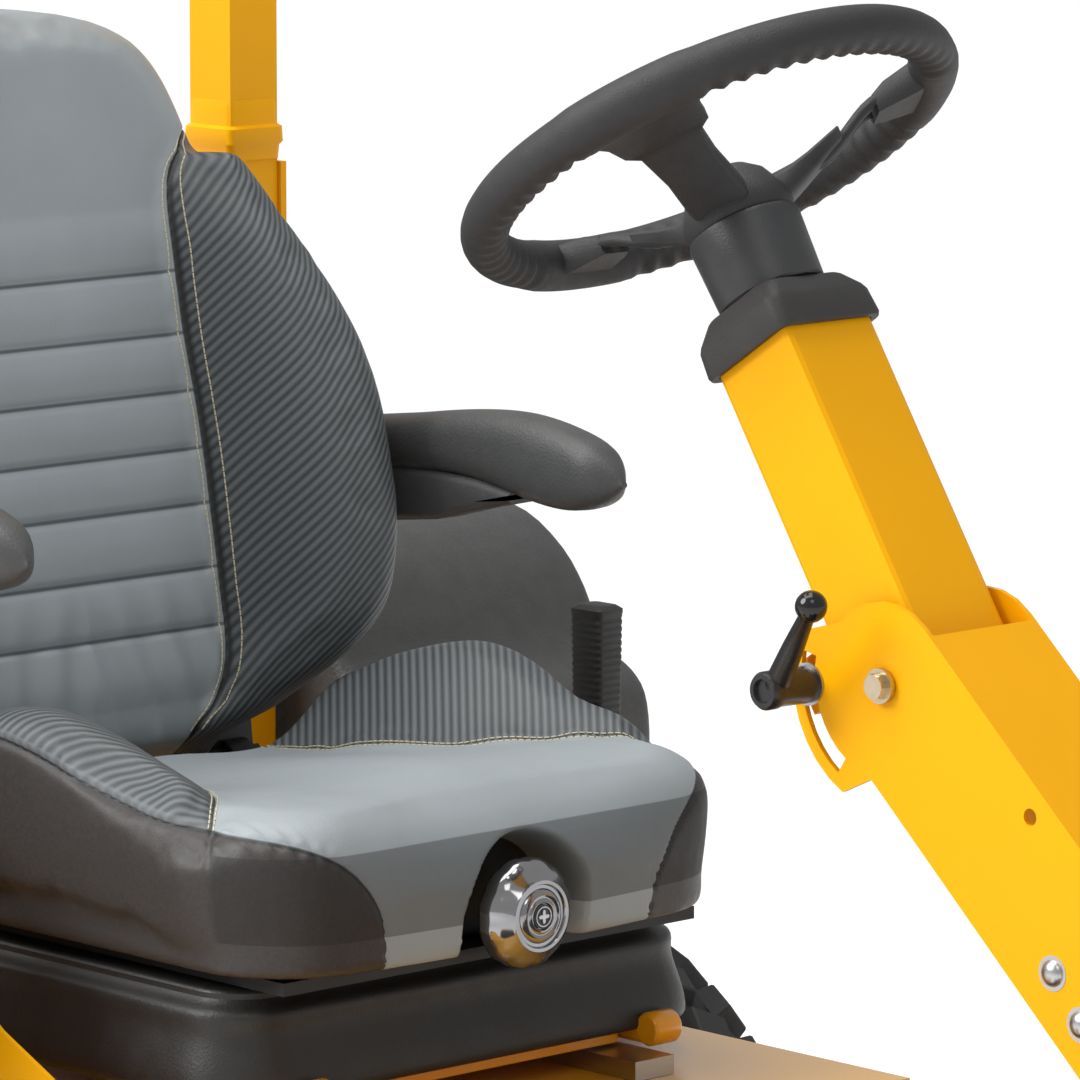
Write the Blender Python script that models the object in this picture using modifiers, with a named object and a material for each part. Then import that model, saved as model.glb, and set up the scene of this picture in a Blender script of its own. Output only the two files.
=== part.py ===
"""Ride-on zero-turn mower with a tilting steering column, a sprung seat and a folding roll bar.

World axes: +X forward, +Y to the operator's left, +Z up. The origin is on the ground under the middle.
All lengths are metres and all angles are degrees.
"""

import math

import bmesh
import bpy
from mathutils import Matrix, Vector

GAP = 0.0003                      # clearance kept between touching pieces

# Wheels
REAR_TYRE_RADIUS = 0.305
REAR_TYRE_WIDTH = 0.30
REAR_TRACK_HALF = 0.535
REAR_AXLE_X = -0.65
REAR_SEGMENTS = 24
FRONT_TYRE_RADIUS = 0.19
FRONT_TYRE_WIDTH = 0.155
FRONT_TRACK_HALF = 0.50
FRONT_AXLE_X = 0.72
FRONT_SEGMENTS = 20
REAR_AXLE_Z = REAR_TYRE_RADIUS * math.cos(math.pi / REAR_SEGMENTS)
FRONT_AXLE_Z = FRONT_TYRE_RADIUS * math.cos(math.pi / FRONT_SEGMENTS)

# Frame
RAIL_Y = 0.27
RAIL_WIDTH = 0.05
RAIL_HEIGHT = 0.076
RAIL_TOP = 0.436
FRAME_FRONT = 1.00
FRAME_REAR = -1.00
DECK_PLATE_TOP = 0.625
DECK_PLATE_FRONT = 0.11
DECK_PLATE_HALF = 0.28

# Steering column: the tilt pivot, the lower box's slope and the upper box's lean
TILT_PIVOT = Vector((0.403, 0.0, 0.999))
LOWER_SLOPE = 42.0
UPPER_LEAN = 57.0
LOWER_WIDTH = 0.105
LOWER_DEPTH = 0.1145
UPPER_WIDTH = 0.086
UPPER_DEPTH = 0.078
SHEET = 0.004
WHEEL_AT = 0.4125                 # distance of the wheel rim's plane from the tilt pivot
WHEEL_RADIUS = 0.1705
GRIP_RADIUS = 0.017

# Roll bar
ROPS_X = -0.737
ROPS_Y = 0.345
ROPS_TUBE = 0.0508
ROPS_WALL = 0.004
ROPS_PIVOT_Z = 1.215
ROPS_TOP = 1.90

# Seat
SEAT_HALF = 0.2475
SEAT_BOTTOM = 0.744
BACK_HINGE = Vector((-0.55, 0.0, 0.785))
BACK_RECLINE = 13.7
ARM_Y = 0.295
ARM_WIDTH = 0.044
ARM_PIVOT = Vector((-0.53, 0.0, 1.03))

# Mower deck
SPINDLE_Y = 0.475
SIDE_SPINDLE_X = 0.03
MIDDLE_SPINDLE_X = 0.19
BLADE_RADIUS = 0.24
DECK_BOTTOM = 0.085
DECK_TOP = 0.205
DECK_HALF = 0.762

XZ = Matrix.Rotation(math.radians(90), 4, "X")                 # outline x, y become X, Z
YZ = Matrix(((0, 0, 1, 0), (1, 0, 0, 0), (0, 1, 0, 0), (0, 0, 0, 1)))   # outline x, y become Y, Z
XY = Matrix.Identity(4)
X_AXIS = Vector((1, 0, 0))
Y_AXIS = Vector((0, 1, 0))
Z_AXIS = Vector((0, 0, 1))

for old in list(bpy.data.objects):
    bpy.data.objects.remove(old, do_unlink=True)

parts = bpy.data.collections.new("ride_on_mower")
cutters = bpy.data.collections.new("cutters")
bpy.context.scene.collection.children.link(parts)
bpy.context.scene.collection.children.link(cutters)


# ---------------------------------------------------------------- modelling helpers
def material(name, colour, roughness, metallic=0.0):
    """A Principled material, found by name once it is made."""
    made = bpy.data.materials.get(name)
    if made is None:
        made = bpy.data.materials.new(name)
        made.use_nodes = True
        shader = made.node_tree.nodes["Principled BSDF"]
        shader.inputs["Base Color"].default_value = (*colour, 1.0)
        shader.inputs["Roughness"].default_value = roughness
        shader.inputs["Metallic"].default_value = metallic
    return made


def add(name, mesh, matrix=XY, look=None):
    """Link a mesh as a named part, or as a tool that stays hidden when it has no look."""
    piece = bpy.data.objects.new(name, mesh)
    piece.matrix_world = matrix
    if look is None:
        piece.hide_render = True
        piece.display_type = "WIRE"
        cutters.objects.link(piece)
    else:
        mesh.materials.append(look)
        parts.objects.link(piece)
    return piece


def block(name, low, high, look=None, frame=XY, bevel=0.0):
    """A box between two corners given in a local frame."""
    mesh = bpy.data.meshes.new(name)
    solid = bmesh.new()
    bmesh.ops.create_cube(solid, size=1.0)
    size = Vector(high) - Vector(low)
    middle = (Vector(high) + Vector(low)) / 2
    bmesh.ops.scale(solid, vec=size, verts=solid.verts)
    solid.to_mesh(mesh)
    solid.free()
    piece = add(name, mesh, frame @ Matrix.Translation(middle), look)
    if bevel:
        round_edges(piece, bevel)
    return piece


def round_edges(piece, width, segments=1):
    """Round every sharp edge."""
    rounding = piece.modifiers.new("rounded_edges", "BEVEL")
    rounding.width = width
    rounding.segments = segments
    rounding.limit_method = "ANGLE"
    rounding.angle_limit = math.radians(40)


def frame_along(centre, axis, start):
    """A frame at a centre with local Z on the axis and local X on the start direction."""
    z = Vector(axis).normalized()
    x = (Vector(start) - z * Vector(start).dot(z)).normalized()
    y = z.cross(x)
    turn = Matrix((x, y, z)).transposed().to_4x4()
    return Matrix.Translation(Vector(centre)) @ turn


def drum(name, centre, axis, radius, length, look=None, sides=12, tip=None, start=None):
    """A cylinder, or a cone where a tip radius is given, centred on a point."""
    start = start or (Z_AXIS if abs(Vector(axis).normalized().z) < 0.9 else X_AXIS)
    mesh = bpy.data.meshes.new(name)
    solid = bmesh.new()
    bmesh.ops.create_cone(solid, cap_ends=True, segments=sides, radius1=radius,
                          radius2=radius if tip is None else tip, depth=length)
    solid.to_mesh(mesh)
    solid.free()
    mesh.shade_smooth()
    mesh.set_sharp_from_angle(angle=math.radians(40))
    return add(name, mesh, frame_along(centre, axis, start), look)


def turned(name, profile, centre, axis, sides, look=None, closed=False, start=None):
    """A profile of (radius, height) points, top to bottom down the outer side, turned about an axis."""
    start = start or (Z_AXIS if abs(Vector(axis).normalized().z) < 0.9 else X_AXIS)
    mesh = bpy.data.meshes.new(name)
    count = len(profile)
    edges = [(i, i + 1) for i in range(count - 1)]
    if closed:
        edges.append((count - 1, 0))
    mesh.from_pydata([(radius, 0.0, height) for radius, height in profile], edges, [])
    piece = add(name, mesh, frame_along(centre, axis, start), look)
    screw = piece.modifiers.new("turned", "SCREW")
    screw.steps = sides
    screw.render_steps = sides
    screw.use_merge_vertices = True
    screw.merge_threshold = 0.0001
    screw.use_smooth_shade = True
    return piece


def outline(name, loops, thickness, plane, offset, look=None):
    """A flat outline, with holes as further loops, given a thickness centred on an offset."""
    curve = bpy.data.curves.new(name, "CURVE")
    curve.dimensions = "2D"
    curve.fill_mode = "BOTH"
    curve.extrude = thickness / 2
    for loop in loops:
        spline = curve.splines.new("POLY")
        spline.points.add(len(loop) - 1)
        for point, (x, y) in zip(spline.points, loop):
            point.co = (x, y, 0.0, 1.0)
        spline.use_cyclic_u = True
    drawing = bpy.data.objects.new(name + "_outline", curve)
    parts.objects.link(drawing)
    piece = as_mesh(name, drawing, look)
    piece.matrix_world = plane @ Matrix.Translation((0.0, 0.0, offset))
    return piece


def pipe(name, points, radius, look=None, sides=2):
    """A round tube along points, with closed ends."""
    curve = bpy.data.curves.new(name, "CURVE")
    curve.dimensions = "3D"
    curve.bevel_depth = radius
    curve.bevel_resolution = sides
    curve.use_fill_caps = True
    spline = curve.splines.new("POLY")
    spline.points.add(len(points) - 1)
    for point, place in zip(spline.points, points):
        point.co = (*place, 1.0)
    drawing = bpy.data.objects.new(name + "_path", curve)
    parts.objects.link(drawing)
    return as_mesh(name, drawing, look)


def as_mesh(name, drawing, look):
    """Turn a curve object into a welded mesh object and remove the curve."""
    bpy.context.view_layer.update()
    mesh = bpy.data.meshes.new_from_object(drawing.evaluated_get(bpy.context.evaluated_depsgraph_get()))
    mesh.name = name
    solid = bmesh.new()
    solid.from_mesh(mesh)
    bmesh.ops.remove_doubles(solid, verts=solid.verts, dist=0.00001)
    bmesh.ops.recalc_face_normals(solid, faces=solid.faces)
    solid.to_mesh(mesh)
    solid.free()
    matrix = drawing.matrix_world.copy()
    bpy.data.objects.remove(drawing, do_unlink=True)
    return add(name, mesh, matrix, look)


def combine(piece, operation, tools):
    for tool in tools:
        step = piece.modifiers.new(tool.name, "BOOLEAN")
        step.operation = operation
        step.solver = "EXACT"
        step.object = tool
    return piece


def join(piece, *tools):
    return combine(piece, "UNION", tools)


def cut(piece, *tools):
    return combine(piece, "DIFFERENCE", tools)


def arc(x, y, radius, first, last, steps):
    """Points on an arc, both ends included."""
    angles = [math.radians(first + (last - first) * i / steps) for i in range(steps + 1)]
    return [(x + radius * math.cos(a), y + radius * math.sin(a)) for a in angles]


def rounded(width, height, radius, x=0.0, y=0.0, steps=1):
    """A rounded rectangle centred on a point."""
    points = []
    for turn, (sx, sy) in enumerate(((1, 1), (-1, 1), (-1, -1), (1, -1))):
        corner_x = x + sx * (width / 2 - radius)
        corner_y = y + sy * (height / 2 - radius)
        points += arc(corner_x, corner_y, radius, 90 * turn, 90 * turn + 90, steps)
    return points


def body(name, place, pieces, parent=None):
    """An empty on a joint's axis that carries the pieces that move together."""
    pivot = bpy.data.objects.new(name + "_axis", None)
    pivot.empty_display_size = 0.05
    pivot.location = place
    parts.objects.link(pivot)
    bpy.context.view_layer.update()
    if parent is not None:
        pivot.parent = parent
        pivot.matrix_parent_inverse = parent.matrix_world.inverted()
        bpy.context.view_layer.update()
    for piece in pieces:
        piece.parent = pivot
        piece.matrix_parent_inverse = pivot.matrix_world.inverted()
    return pivot


yellow = material("yellow_paint", (0.95, 0.55, 0.01), 0.32)
amber = material("amber_paint", (0.85, 0.42, 0.01), 0.25)
black = material("black_paint", (0.02, 0.02, 0.02), 0.45)
charcoal = material("charcoal_plastic", (0.035, 0.036, 0.038), 0.6)
fender_grey = material("grey_plastic", (0.06, 0.063, 0.067), 0.65)
tyre_rubber = material("tyre_rubber", (0.02, 0.02, 0.02), 0.85)
bellows_rubber = material("bellows_rubber", (0.02, 0.02, 0.02), 0.6)
vinyl = material("seat_vinyl", (0.2, 0.24, 0.26), 0.5)
zinc = material("zinc_steel", (0.6, 0.55, 0.45), 0.3, 1.0)
steel = material("bare_steel", (0.45, 0.45, 0.46), 0.35, 1.0)
cast = material("cast_metal", (0.25, 0.25, 0.26), 0.55, 0.8)
chrome = material("knob_chrome", (0.8, 0.8, 0.82), 0.12, 1.0)
red_key = material("key_plastic", (0.02, 0.02, 0.02), 0.4)


# ---------------------------------------------------------------- main frame
def rail(side):
    loops = [rounded(RAIL_WIDTH, RAIL_HEIGHT, 0.006, side * RAIL_Y, RAIL_TOP - RAIL_HEIGHT / 2),
             rounded(RAIL_WIDTH - 0.008, RAIL_HEIGHT - 0.008, 0.003, side * RAIL_Y,
                     RAIL_TOP - RAIL_HEIGHT / 2)]
    return loops


RAIL_FRONT = FRAME_FRONT - 0.02
RAIL_LENGTH = RAIL_FRONT - FRAME_REAR
RAIL_MIDDLE = (RAIL_FRONT + FRAME_REAR) / 2
RAIL_BOTTOM = RAIL_TOP - RAIL_HEIGHT
main_frame = outline("main_frame", rail(1), RAIL_LENGTH, YZ, RAIL_MIDDLE, yellow)
right_rail = outline("frame_right_rail", rail(-1), RAIL_LENGTH, YZ, RAIL_MIDDLE)
CROSS_HALF = RAIL_Y - RAIL_WIDTH / 2 + 0.002
front_cross = block("frame_front_cross", (RAIL_FRONT - 0.001, -0.295, RAIL_BOTTOM),
                    (FRAME_FRONT, 0.295, RAIL_TOP))
members = [block("frame_member_" + tag, (x - 0.025, -CROSS_HALF, RAIL_BOTTOM + 0.008),
                 (x + 0.025, CROSS_HALF, RAIL_TOP - 0.01))
           for tag, x in (("front", 0.56), ("middle", 0.0), ("rear", -0.46))]
engine_plate = block("frame_engine_plate", (FRAME_REAR, -0.293, RAIL_TOP - 0.003),
                     (-0.64, 0.293, RAIL_TOP + 0.004))
rops_feet = [block("frame_rops_foot_" + tag,
                   (ROPS_X - 0.045, min(side * 0.292, side * 0.3192), RAIL_BOTTOM + 0.005),
                   (ROPS_X + 0.045, max(side * 0.292, side * 0.3192), RAIL_TOP - 0.006))
             for tag, side in (("left", 1), ("right", -1))]
join(main_frame, right_rail, front_cross, *members, engine_plate, *rops_feet)

# ---------------------------------------------------------------- seat deck, seat box and floor
lip = DECK_PLATE_TOP - 0.025
seat_deck = outline("seat_deck", [[(-0.62, DECK_PLATE_TOP), (-0.62, DECK_PLATE_TOP - SHEET),
                                   (DECK_PLATE_FRONT - SHEET, DECK_PLATE_TOP - SHEET),
                                   (DECK_PLATE_FRONT - SHEET, lip),
                                   (DECK_PLATE_FRONT, lip), (DECK_PLATE_FRONT, DECK_PLATE_TOP)]],
                    2 * DECK_PLATE_HALF, XZ, 0.0, yellow)

BOX_FRONT = DECK_PLATE_FRONT - 0.0055
BOX_REAR = -0.60
BOX_HALF = DECK_PLATE_HALF - 0.002
BOX_BOTTOM = RAIL_TOP + 0.0006
BOX_TOP = DECK_PLATE_TOP - SHEET - GAP
box_loop = [(BOX_REAR, BOX_HALF), (BOX_FRONT, BOX_HALF), (BOX_FRONT, -BOX_HALF), (BOX_REAR, -BOX_HALF),
            (BOX_REAR, SHEET - BOX_HALF), (BOX_FRONT - SHEET, SHEET - BOX_HALF),
            (BOX_FRONT - SHEET, BOX_HALF - SHEET), (BOX_REAR, BOX_HALF - SHEET)]
seat_box = outline("seat_box", [box_loop], BOX_TOP - BOX_BOTTOM, XY, (BOX_TOP + BOX_BOTTOM) / 2, yellow)
console_bracket = outline("console_bracket",
                          [[(-0.46, 0.585), (-0.12, 0.585), (-0.12, 0.648), (-0.226, 0.697),
                            (-0.32, 0.76), (-0.36, 0.80), (-0.46, 0.80)]], SHEET, XZ, 0.318)
console_arm = block("console_arm", (-0.44, -0.3165, 0.59), (-0.14, -0.277, 0.615))
brake_arm = block("brake_arm", (-0.32, 0.277, 0.585), (-0.26, 0.328, 0.615))
join(seat_box, console_bracket, console_arm, brake_arm)

FLOOR_TOP = 0.4418
FLOOR = 0.005
TOE_START = (0.60, FLOOR_TOP)
TOE_BEND = (0.683, 0.5048)
TOE_END = (0.955, 0.5648)
toe_slope = (TOE_END[1] - TOE_BEND[1]) / (TOE_END[0] - TOE_BEND[0])
floor_loop = [(0.115, FLOOR_TOP), TOE_START, TOE_BEND, TOE_END, (TOE_END[0], TOE_END[1] - FLOOR),
              (TOE_BEND[0] + 0.0018, TOE_BEND[1] - FLOOR), (TOE_START[0] + 0.0018, FLOOR_TOP - FLOOR),
              (0.115, FLOOR_TOP - FLOOR)]
floor_pan = outline("floor_pan", [floor_loop[::-1]], 0.60, XZ, 0.0, black)


def toe_height(x):
    """Height of the toe board's upper face."""
    return TOE_BEND[1] + (x - TOE_BEND[0]) * toe_slope


PEDAL_X = 0.735
PEDAL_Z = toe_height(PEDAL_X) + 0.0105
PEDALS = {"forward_pedal": (-0.26, -0.17, 0.165), "reverse_pedal": (-0.15, -0.09, 0.11)}
ears = []
for pedal_name, (inner, outer, reach) in PEDALS.items():
    for tag, edge in (("a", inner - 0.005), ("b", outer + 0.001)):
        ears.append(block(pedal_name + "_ear_" + tag, (PEDAL_X - 0.012, edge, PEDAL_Z - 0.02),
                          (PEDAL_X + 0.012, edge + SHEET, PEDAL_Z + 0.012)))
join(floor_pan, *ears)

pedals = {}
for pedal_name, (inner, outer, reach) in PEDALS.items():
    tread_frame = Matrix.Translation((PEDAL_X, 0, PEDAL_Z)) @ Matrix.Rotation(math.radians(-50), 4, "Y")
    tube = drum(pedal_name + "_tube", (PEDAL_X, (inner + outer) / 2, PEDAL_Z), Y_AXIS, 0.009, outer - inner,
                sides=12)
    pedals[pedal_name] = block(pedal_name, (0.004, inner + 0.001, -0.003), (reach, outer - 0.001, 0.005),
                               black,
                               tread_frame)
    join(pedals[pedal_name], tube)
    body(pedal_name, (PEDAL_X, (inner + outer) / 2, PEDAL_Z), [pedals[pedal_name]])

# ---------------------------------------------------------------- front axle and steered wheels
SLEEVE_LOW = 0.412
SLEEVE_HIGH = 0.532
front_axle_beam = block("front_axle_beam", (FRONT_AXLE_X - 0.03, -0.475, RAIL_TOP + 0.0008),
                        (FRONT_AXLE_X + 0.03, 0.475, 0.4958), black, bevel=0.006)
sleeves = []
bores = []
for tag, side in (("left", 1), ("right", -1)):
    sleeve_centre = (FRONT_AXLE_X, side * FRONT_TRACK_HALF, (SLEEVE_LOW + SLEEVE_HIGH) / 2)
    sleeves.append(drum("kingpin_sleeve_" + tag, sleeve_centre, Z_AXIS, 0.032, SLEEVE_HIGH - SLEEVE_LOW))
    bores.append(drum("kingpin_bore_" + tag, sleeve_centre, Z_AXIS, 0.0157, 0.2))
join(front_axle_beam, *sleeves)
cut(front_axle_beam, *bores)


def tyre_profile(radius, width, bead, rim_half):
    """A hollow tyre's section: the outer side down, then back up inside."""
    half = width / 2
    wall = (radius - bead) * 0.06
    outer = [(bead, rim_half), (bead + 0.5 * (radius - bead), half),
             (radius - 0.08 * (radius - bead), half * 0.88),
             (radius, half * 0.66)]
    inner = [(bead + wall, rim_half - 0.012), (bead + 0.5 * (radius - bead), half - 0.013),
             (radius - 0.15 * (radius - bead), half * 0.74)]
    down = outer + [(r, -z) for r, z in reversed(outer)]
    up = [(r, -z) for r, z in inner] + list(reversed(inner))
    return down + up


def wheel_start(sides):
    """Turns the facets so that one lies flat on the ground."""
    half = math.pi / sides
    return Vector((math.sin(half), 0, -math.cos(half)))


front_wheel_bodies = {}
for tag, side in (("left", 1), ("right", -1)):
    hub = Vector((FRONT_AXLE_X, side * FRONT_TRACK_HALF, FRONT_AXLE_Z))
    knuckle = block("front_knuckle_" + tag, (hub.x - 0.045, hub.y - 0.0985, 0.385),
                    (hub.x + 0.045, hub.y + 0.0985, 0.397),
                    yellow)
    kingpin = drum("kingpin_" + tag, (hub.x, hub.y, 0.468), Z_AXIS, 0.015, 0.152)
    washer = drum("kingpin_washer_" + tag, (hub.x, hub.y, 0.404), Z_AXIS, 0.028, 0.0155)
    cap = drum("kingpin_cap_" + tag, (hub.x, hub.y, 0.5395), Z_AXIS, 0.024, 0.0141)
    legs = [block("fork_leg_" + tag + edge, (hub.x - 0.025, hub.y + y, hub.z - 0.025),
                  (hub.x + 0.025, hub.y + y + 0.008, 0.387))
            for edge, y in (("_in", -0.0985), ("_out", 0.0905))]
    axle = drum("front_axle_" + tag, hub, Y_AXIS, 0.008, 0.196, sides=FRONT_SEGMENTS)
    join(knuckle, kingpin, washer, cap, *legs, axle)
    rim = turned("front_rim_" + tag, [(0.0765, 0.060), (0.0765, -0.060), (0.0725, -0.060), (0.0725, -0.004),
                                      (0.028, -0.004), (0.028, -0.085), (0.0089, -0.085), (0.0089, 0.085),
                                      (0.028, 0.085), (0.028, 0.004), (0.0725, 0.004), (0.0725, 0.060)],
                 hub, Y_AXIS, FRONT_SEGMENTS, black, closed=True, start=wheel_start(FRONT_SEGMENTS))
    tyre = turned("front_tyre_" + tag, tyre_profile(FRONT_TYRE_RADIUS, FRONT_TYRE_WIDTH, 0.0770, 0.058),
                  hub, Y_AXIS, FRONT_SEGMENTS, tyre_rubber, closed=True, start=wheel_start(FRONT_SEGMENTS))
    steer_axis = body("front_knuckle_" + tag, (hub.x, hub.y, SLEEVE_LOW), [knuckle])
    body("front_wheel_" + tag, hub, [rim, tyre], steer_axis)

# ---------------------------------------------------------------- rear wheels and drive units
for tag, side in (("left", 1), ("right", -1)):
    hub = Vector((REAR_AXLE_X, side * REAR_TRACK_HALF, REAR_AXLE_Z))
    outward = Vector((0, side, 0))
    rim = turned("rear_rim_" + tag, [(0, 0.03), (0.05, 0.03), (0.05, 0.018), (0.1505, 0.018), (0.1505, 0.118),
                                     (0.1555, 0.118), (0.1555, -0.118), (0.1505, -0.118), (0.1505, 0.010),
                                     (0.05, 0.010), (0.05, -0.03), (0.016, -0.03), (0.016, -0.31),
                                     (0, -0.31)],
                 hub, outward, REAR_SEGMENTS, black, start=wheel_start(REAR_SEGMENTS))
    tyre = turned("rear_tyre_" + tag, tyre_profile(REAR_TYRE_RADIUS, REAR_TYRE_WIDTH, 0.1561, 0.112),
                  hub, outward, REAR_SEGMENTS, tyre_rubber, closed=True, start=wheel_start(REAR_SEGMENTS))
    body("rear_wheel_" + tag, hub, [rim, tyre])
    near = min(side * 0.10, side * 0.242)
    far = max(side * 0.10, side * 0.242)
    drive_unit = block("drive_unit_" + tag, (-0.735, near, 0.225), (-0.565, far, 0.40), cast, bevel=0.012)
    pump = drum("drive_pump_" + tag, (-0.70, side * 0.17, 0.412), Z_AXIS, 0.03, 0.034)
    axle_bore = drum("drive_bore_" + tag, (REAR_AXLE_X, side * 0.25, REAR_AXLE_Z), outward, 0.0167, 0.12,
                     sides=REAR_SEGMENTS, start=wheel_start(REAR_SEGMENTS))
    join(drive_unit, pump)
    cut(drive_unit, axle_bore)

# ---------------------------------------------------------------- engine group
ENGINE_FLOOR = RAIL_TOP + 0.004 + GAP
engine_block = block("engine_block", (-0.895, -0.11, ENGINE_FLOOR), (-0.725, 0.11, 0.62), cast, bevel=0.008)
heads = [block("engine_head_" + tag, (-0.86, min(side * 0.10, side * 0.2), 0.47),
               (-0.76, max(side * 0.10, side * 0.2), 0.60))
         for tag, side in (("left", 1), ("right", -1))]
join(engine_block, *heads)
engine_cover = turned("engine_cover",
                      [(0, 0.15), (0.09, 0.15), (0.14, 0.12), (0.15, 0.09), (0.15, 0.0), (0, 0)],
                      (-0.835, 0, 0.6204), Z_AXIS, 20, charcoal)
air_filter = drum("air_filter", (-0.835, 0, 0.820), Y_AXIS, 0.055, 0.26, sides=14)
join(engine_cover, air_filter)
muffler = drum("muffler", (-0.951, 0, 0.515), Y_AXIS, 0.046, 0.32, cast, sides=14)
GUARD_TUBE = 0.016
guard_path = [(-0.983, 0.27, RAIL_TOP + 0.0046), (-0.983, 0.27, 0.70)]
guard_path += [(-0.983, y, z) for y, z in arc(0.21, 0.70, 0.06, 0, 90, 4)][1:]
guard_path += [(x, -y, z) for x, y, z in reversed(guard_path)]
engine_guard = pipe("engine_guard", guard_path, GUARD_TUBE, yellow)

# ---------------------------------------------------------------- fenders, fuel cap and console
for tag, side in (("left", 1), ("right", -1)):
    profile = [(-0.95, 0.66), (-0.585, 0.66), (-0.575, 0.77), (-0.587, 0.80), (-0.625, 0.812),
               (-0.665, 0.877),
               (-0.73, 0.915), (-0.775, 0.935), (-0.92, 0.935), (-0.96, 0.90)]
    fender = outline("fender_" + tag, [profile], 0.30, XZ, -side * 0.53, fender_grey)
    round_edges(fender, 0.014)
CAP_PLACE = Vector((-0.86, 0.53, 0.9353))
fuel_cap = turned("fuel_cap", [(0, 0.034), (0.036, 0.034), (0.042, 0.028), (0.042, 0.0), (0, 0)],
                  CAP_PLACE, Z_AXIS, 20, charcoal)
body("fuel_cap", CAP_PLACE, [fuel_cap])

CONSOLE_INNER = -0.3204
console_profile = [(-0.405, 0.66), (-0.26, 0.66), (-0.24, 0.70), (-0.245, 0.80), (-0.405, 0.86)]
control_console = outline("control_console", [console_profile], 0.24, XZ, -(CONSOLE_INNER - 0.12), charcoal)
round_edges(control_console, 0.008)
console_slope = math.atan2(0.86 - 0.80, 0.405 - 0.245)
CONSOLE_UP = Vector((math.sin(console_slope), 0, math.cos(console_slope)))
CONSOLE_BACK = Vector((-math.cos(console_slope), 0, math.sin(console_slope)))
CONSOLE_CORNER = Vector((-0.245, 0, 0.80))


def on_console(back, y, lift=0.0):
    """A point on the console's sloping top."""
    return CONSOLE_CORNER + CONSOLE_BACK * back + Y_AXIS * y + CONSOLE_UP * (lift + 0.0006)


knob_place = on_console(0.06, -0.40)
pto_knob = turned("pto_knob",
                  [(0, 0.038), (0.018, 0.036), (0.020, 0.026), (0.012, 0.020), (0.008, 0.016), (0.008, 0),
                               (0, 0)],
                  knob_place, CONSOLE_UP, 16, material("knob_yellow", (0.9, 0.6, 0.02), 0.35))
body("pto_knob", knob_place, [pto_knob])
throttle_place = on_console(0.10, -0.46, 0.012)
throttle_hub = drum("throttle_hub", throttle_place, Y_AXIS, 0.011, 0.012, sides=12)
throttle_frame = frame_along(throttle_place, CONSOLE_UP, CONSOLE_BACK)
throttle_lever = block("throttle_lever", (-0.006, -0.003, 0.002), (0.006, 0.003, 0.055), black,
                       throttle_frame)
throttle_grip = block("throttle_grip", (-0.010, -0.009, 0.050), (0.010, 0.009, 0.082), frame=throttle_frame)
join(throttle_lever, throttle_hub, throttle_grip)
body("throttle_lever", throttle_place, [throttle_lever])
key_place = on_console(0.06, -0.52)
key_frame = frame_along(key_place, CONSOLE_UP, CONSOLE_BACK)
ignition_key = drum("ignition_key", key_place + CONSOLE_UP * 0.006, CONSOLE_UP, 0.011, 0.012, red_key,
                    sides=14)
key_bow = block("key_bow", (-0.012, -0.002, 0.010), (0.012, 0.002, 0.036), frame=key_frame)
join(ignition_key, key_bow)
body("ignition_key", key_place, [ignition_key])

# ---------------------------------------------------------------- parking brake lever
BRAKE_PIVOT = Vector((-0.29, 0.345, 0.60))
brake_hub = drum("brake_hub", BRAKE_PIVOT, Y_AXIS, 0.022, 0.03)
brake_stem = block("brake_stem", (-0.298, 0.341, 0.602), (-0.282, 0.349, 0.80))
park_brake_lever = block("park_brake_lever", (-0.3175, 0.331, 0.775), (-0.2825, 0.359, 0.929), charcoal)
join(park_brake_lever, brake_stem, brake_hub)
body("park_brake_lever", BRAKE_PIVOT, [park_brake_lever])

# ---------------------------------------------------------------- sprung seat
RAILS_TOP = 0.640
seat_rails = block("seat_rails", (-0.45, 0.12, DECK_PLATE_TOP + GAP), (-0.02, 0.16, RAILS_TOP), steel)
rail_right = block("seat_rail_right", (-0.45, -0.16, DECK_PLATE_TOP + GAP), (-0.02, -0.12, RAILS_TOP))
rail_tie = block("seat_rail_tie", (-0.40, -0.13, DECK_PLATE_TOP + GAP), (-0.34, 0.13, DECK_PLATE_TOP + 0.006))
join(seat_rails, rail_right, rail_tie)
BASE_TOP = 0.6725
suspension_base = block("suspension_base", (-0.43, -0.185, RAILS_TOP + 0.0006), (-0.06, 0.185, BASE_TOP),
                        amber,
                        bevel=0.006)
slide_axis = body("seat_slide", (-0.24, 0, RAILS_TOP), [suspension_base])
PAN_BOTTOM = 0.734
bellows = outline("suspension_bellows", [rounded(0.39, 0.47, 0.05, -0.26, 0.0, 3)],
                  PAN_BOTTOM - BASE_TOP - 0.0008, XY, (PAN_BOTTOM + BASE_TOP) / 2, bellows_rubber)
seat_pan = block("seat_pan", (-0.475, -0.205, PAN_BOTTOM), (-0.045, 0.205, SEAT_BOTTOM - 0.0004), black)
hinge_arms = [block("hinge_arm_" + tag, (-0.565, min(side * 0.165, side * 0.195), PAN_BOTTOM),
                    (-0.47, max(side * 0.165, side * 0.195), BACK_HINGE.z))
              for tag, side in (("left", 1), ("right", -1))]
join(seat_pan, *hinge_arms)

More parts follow.
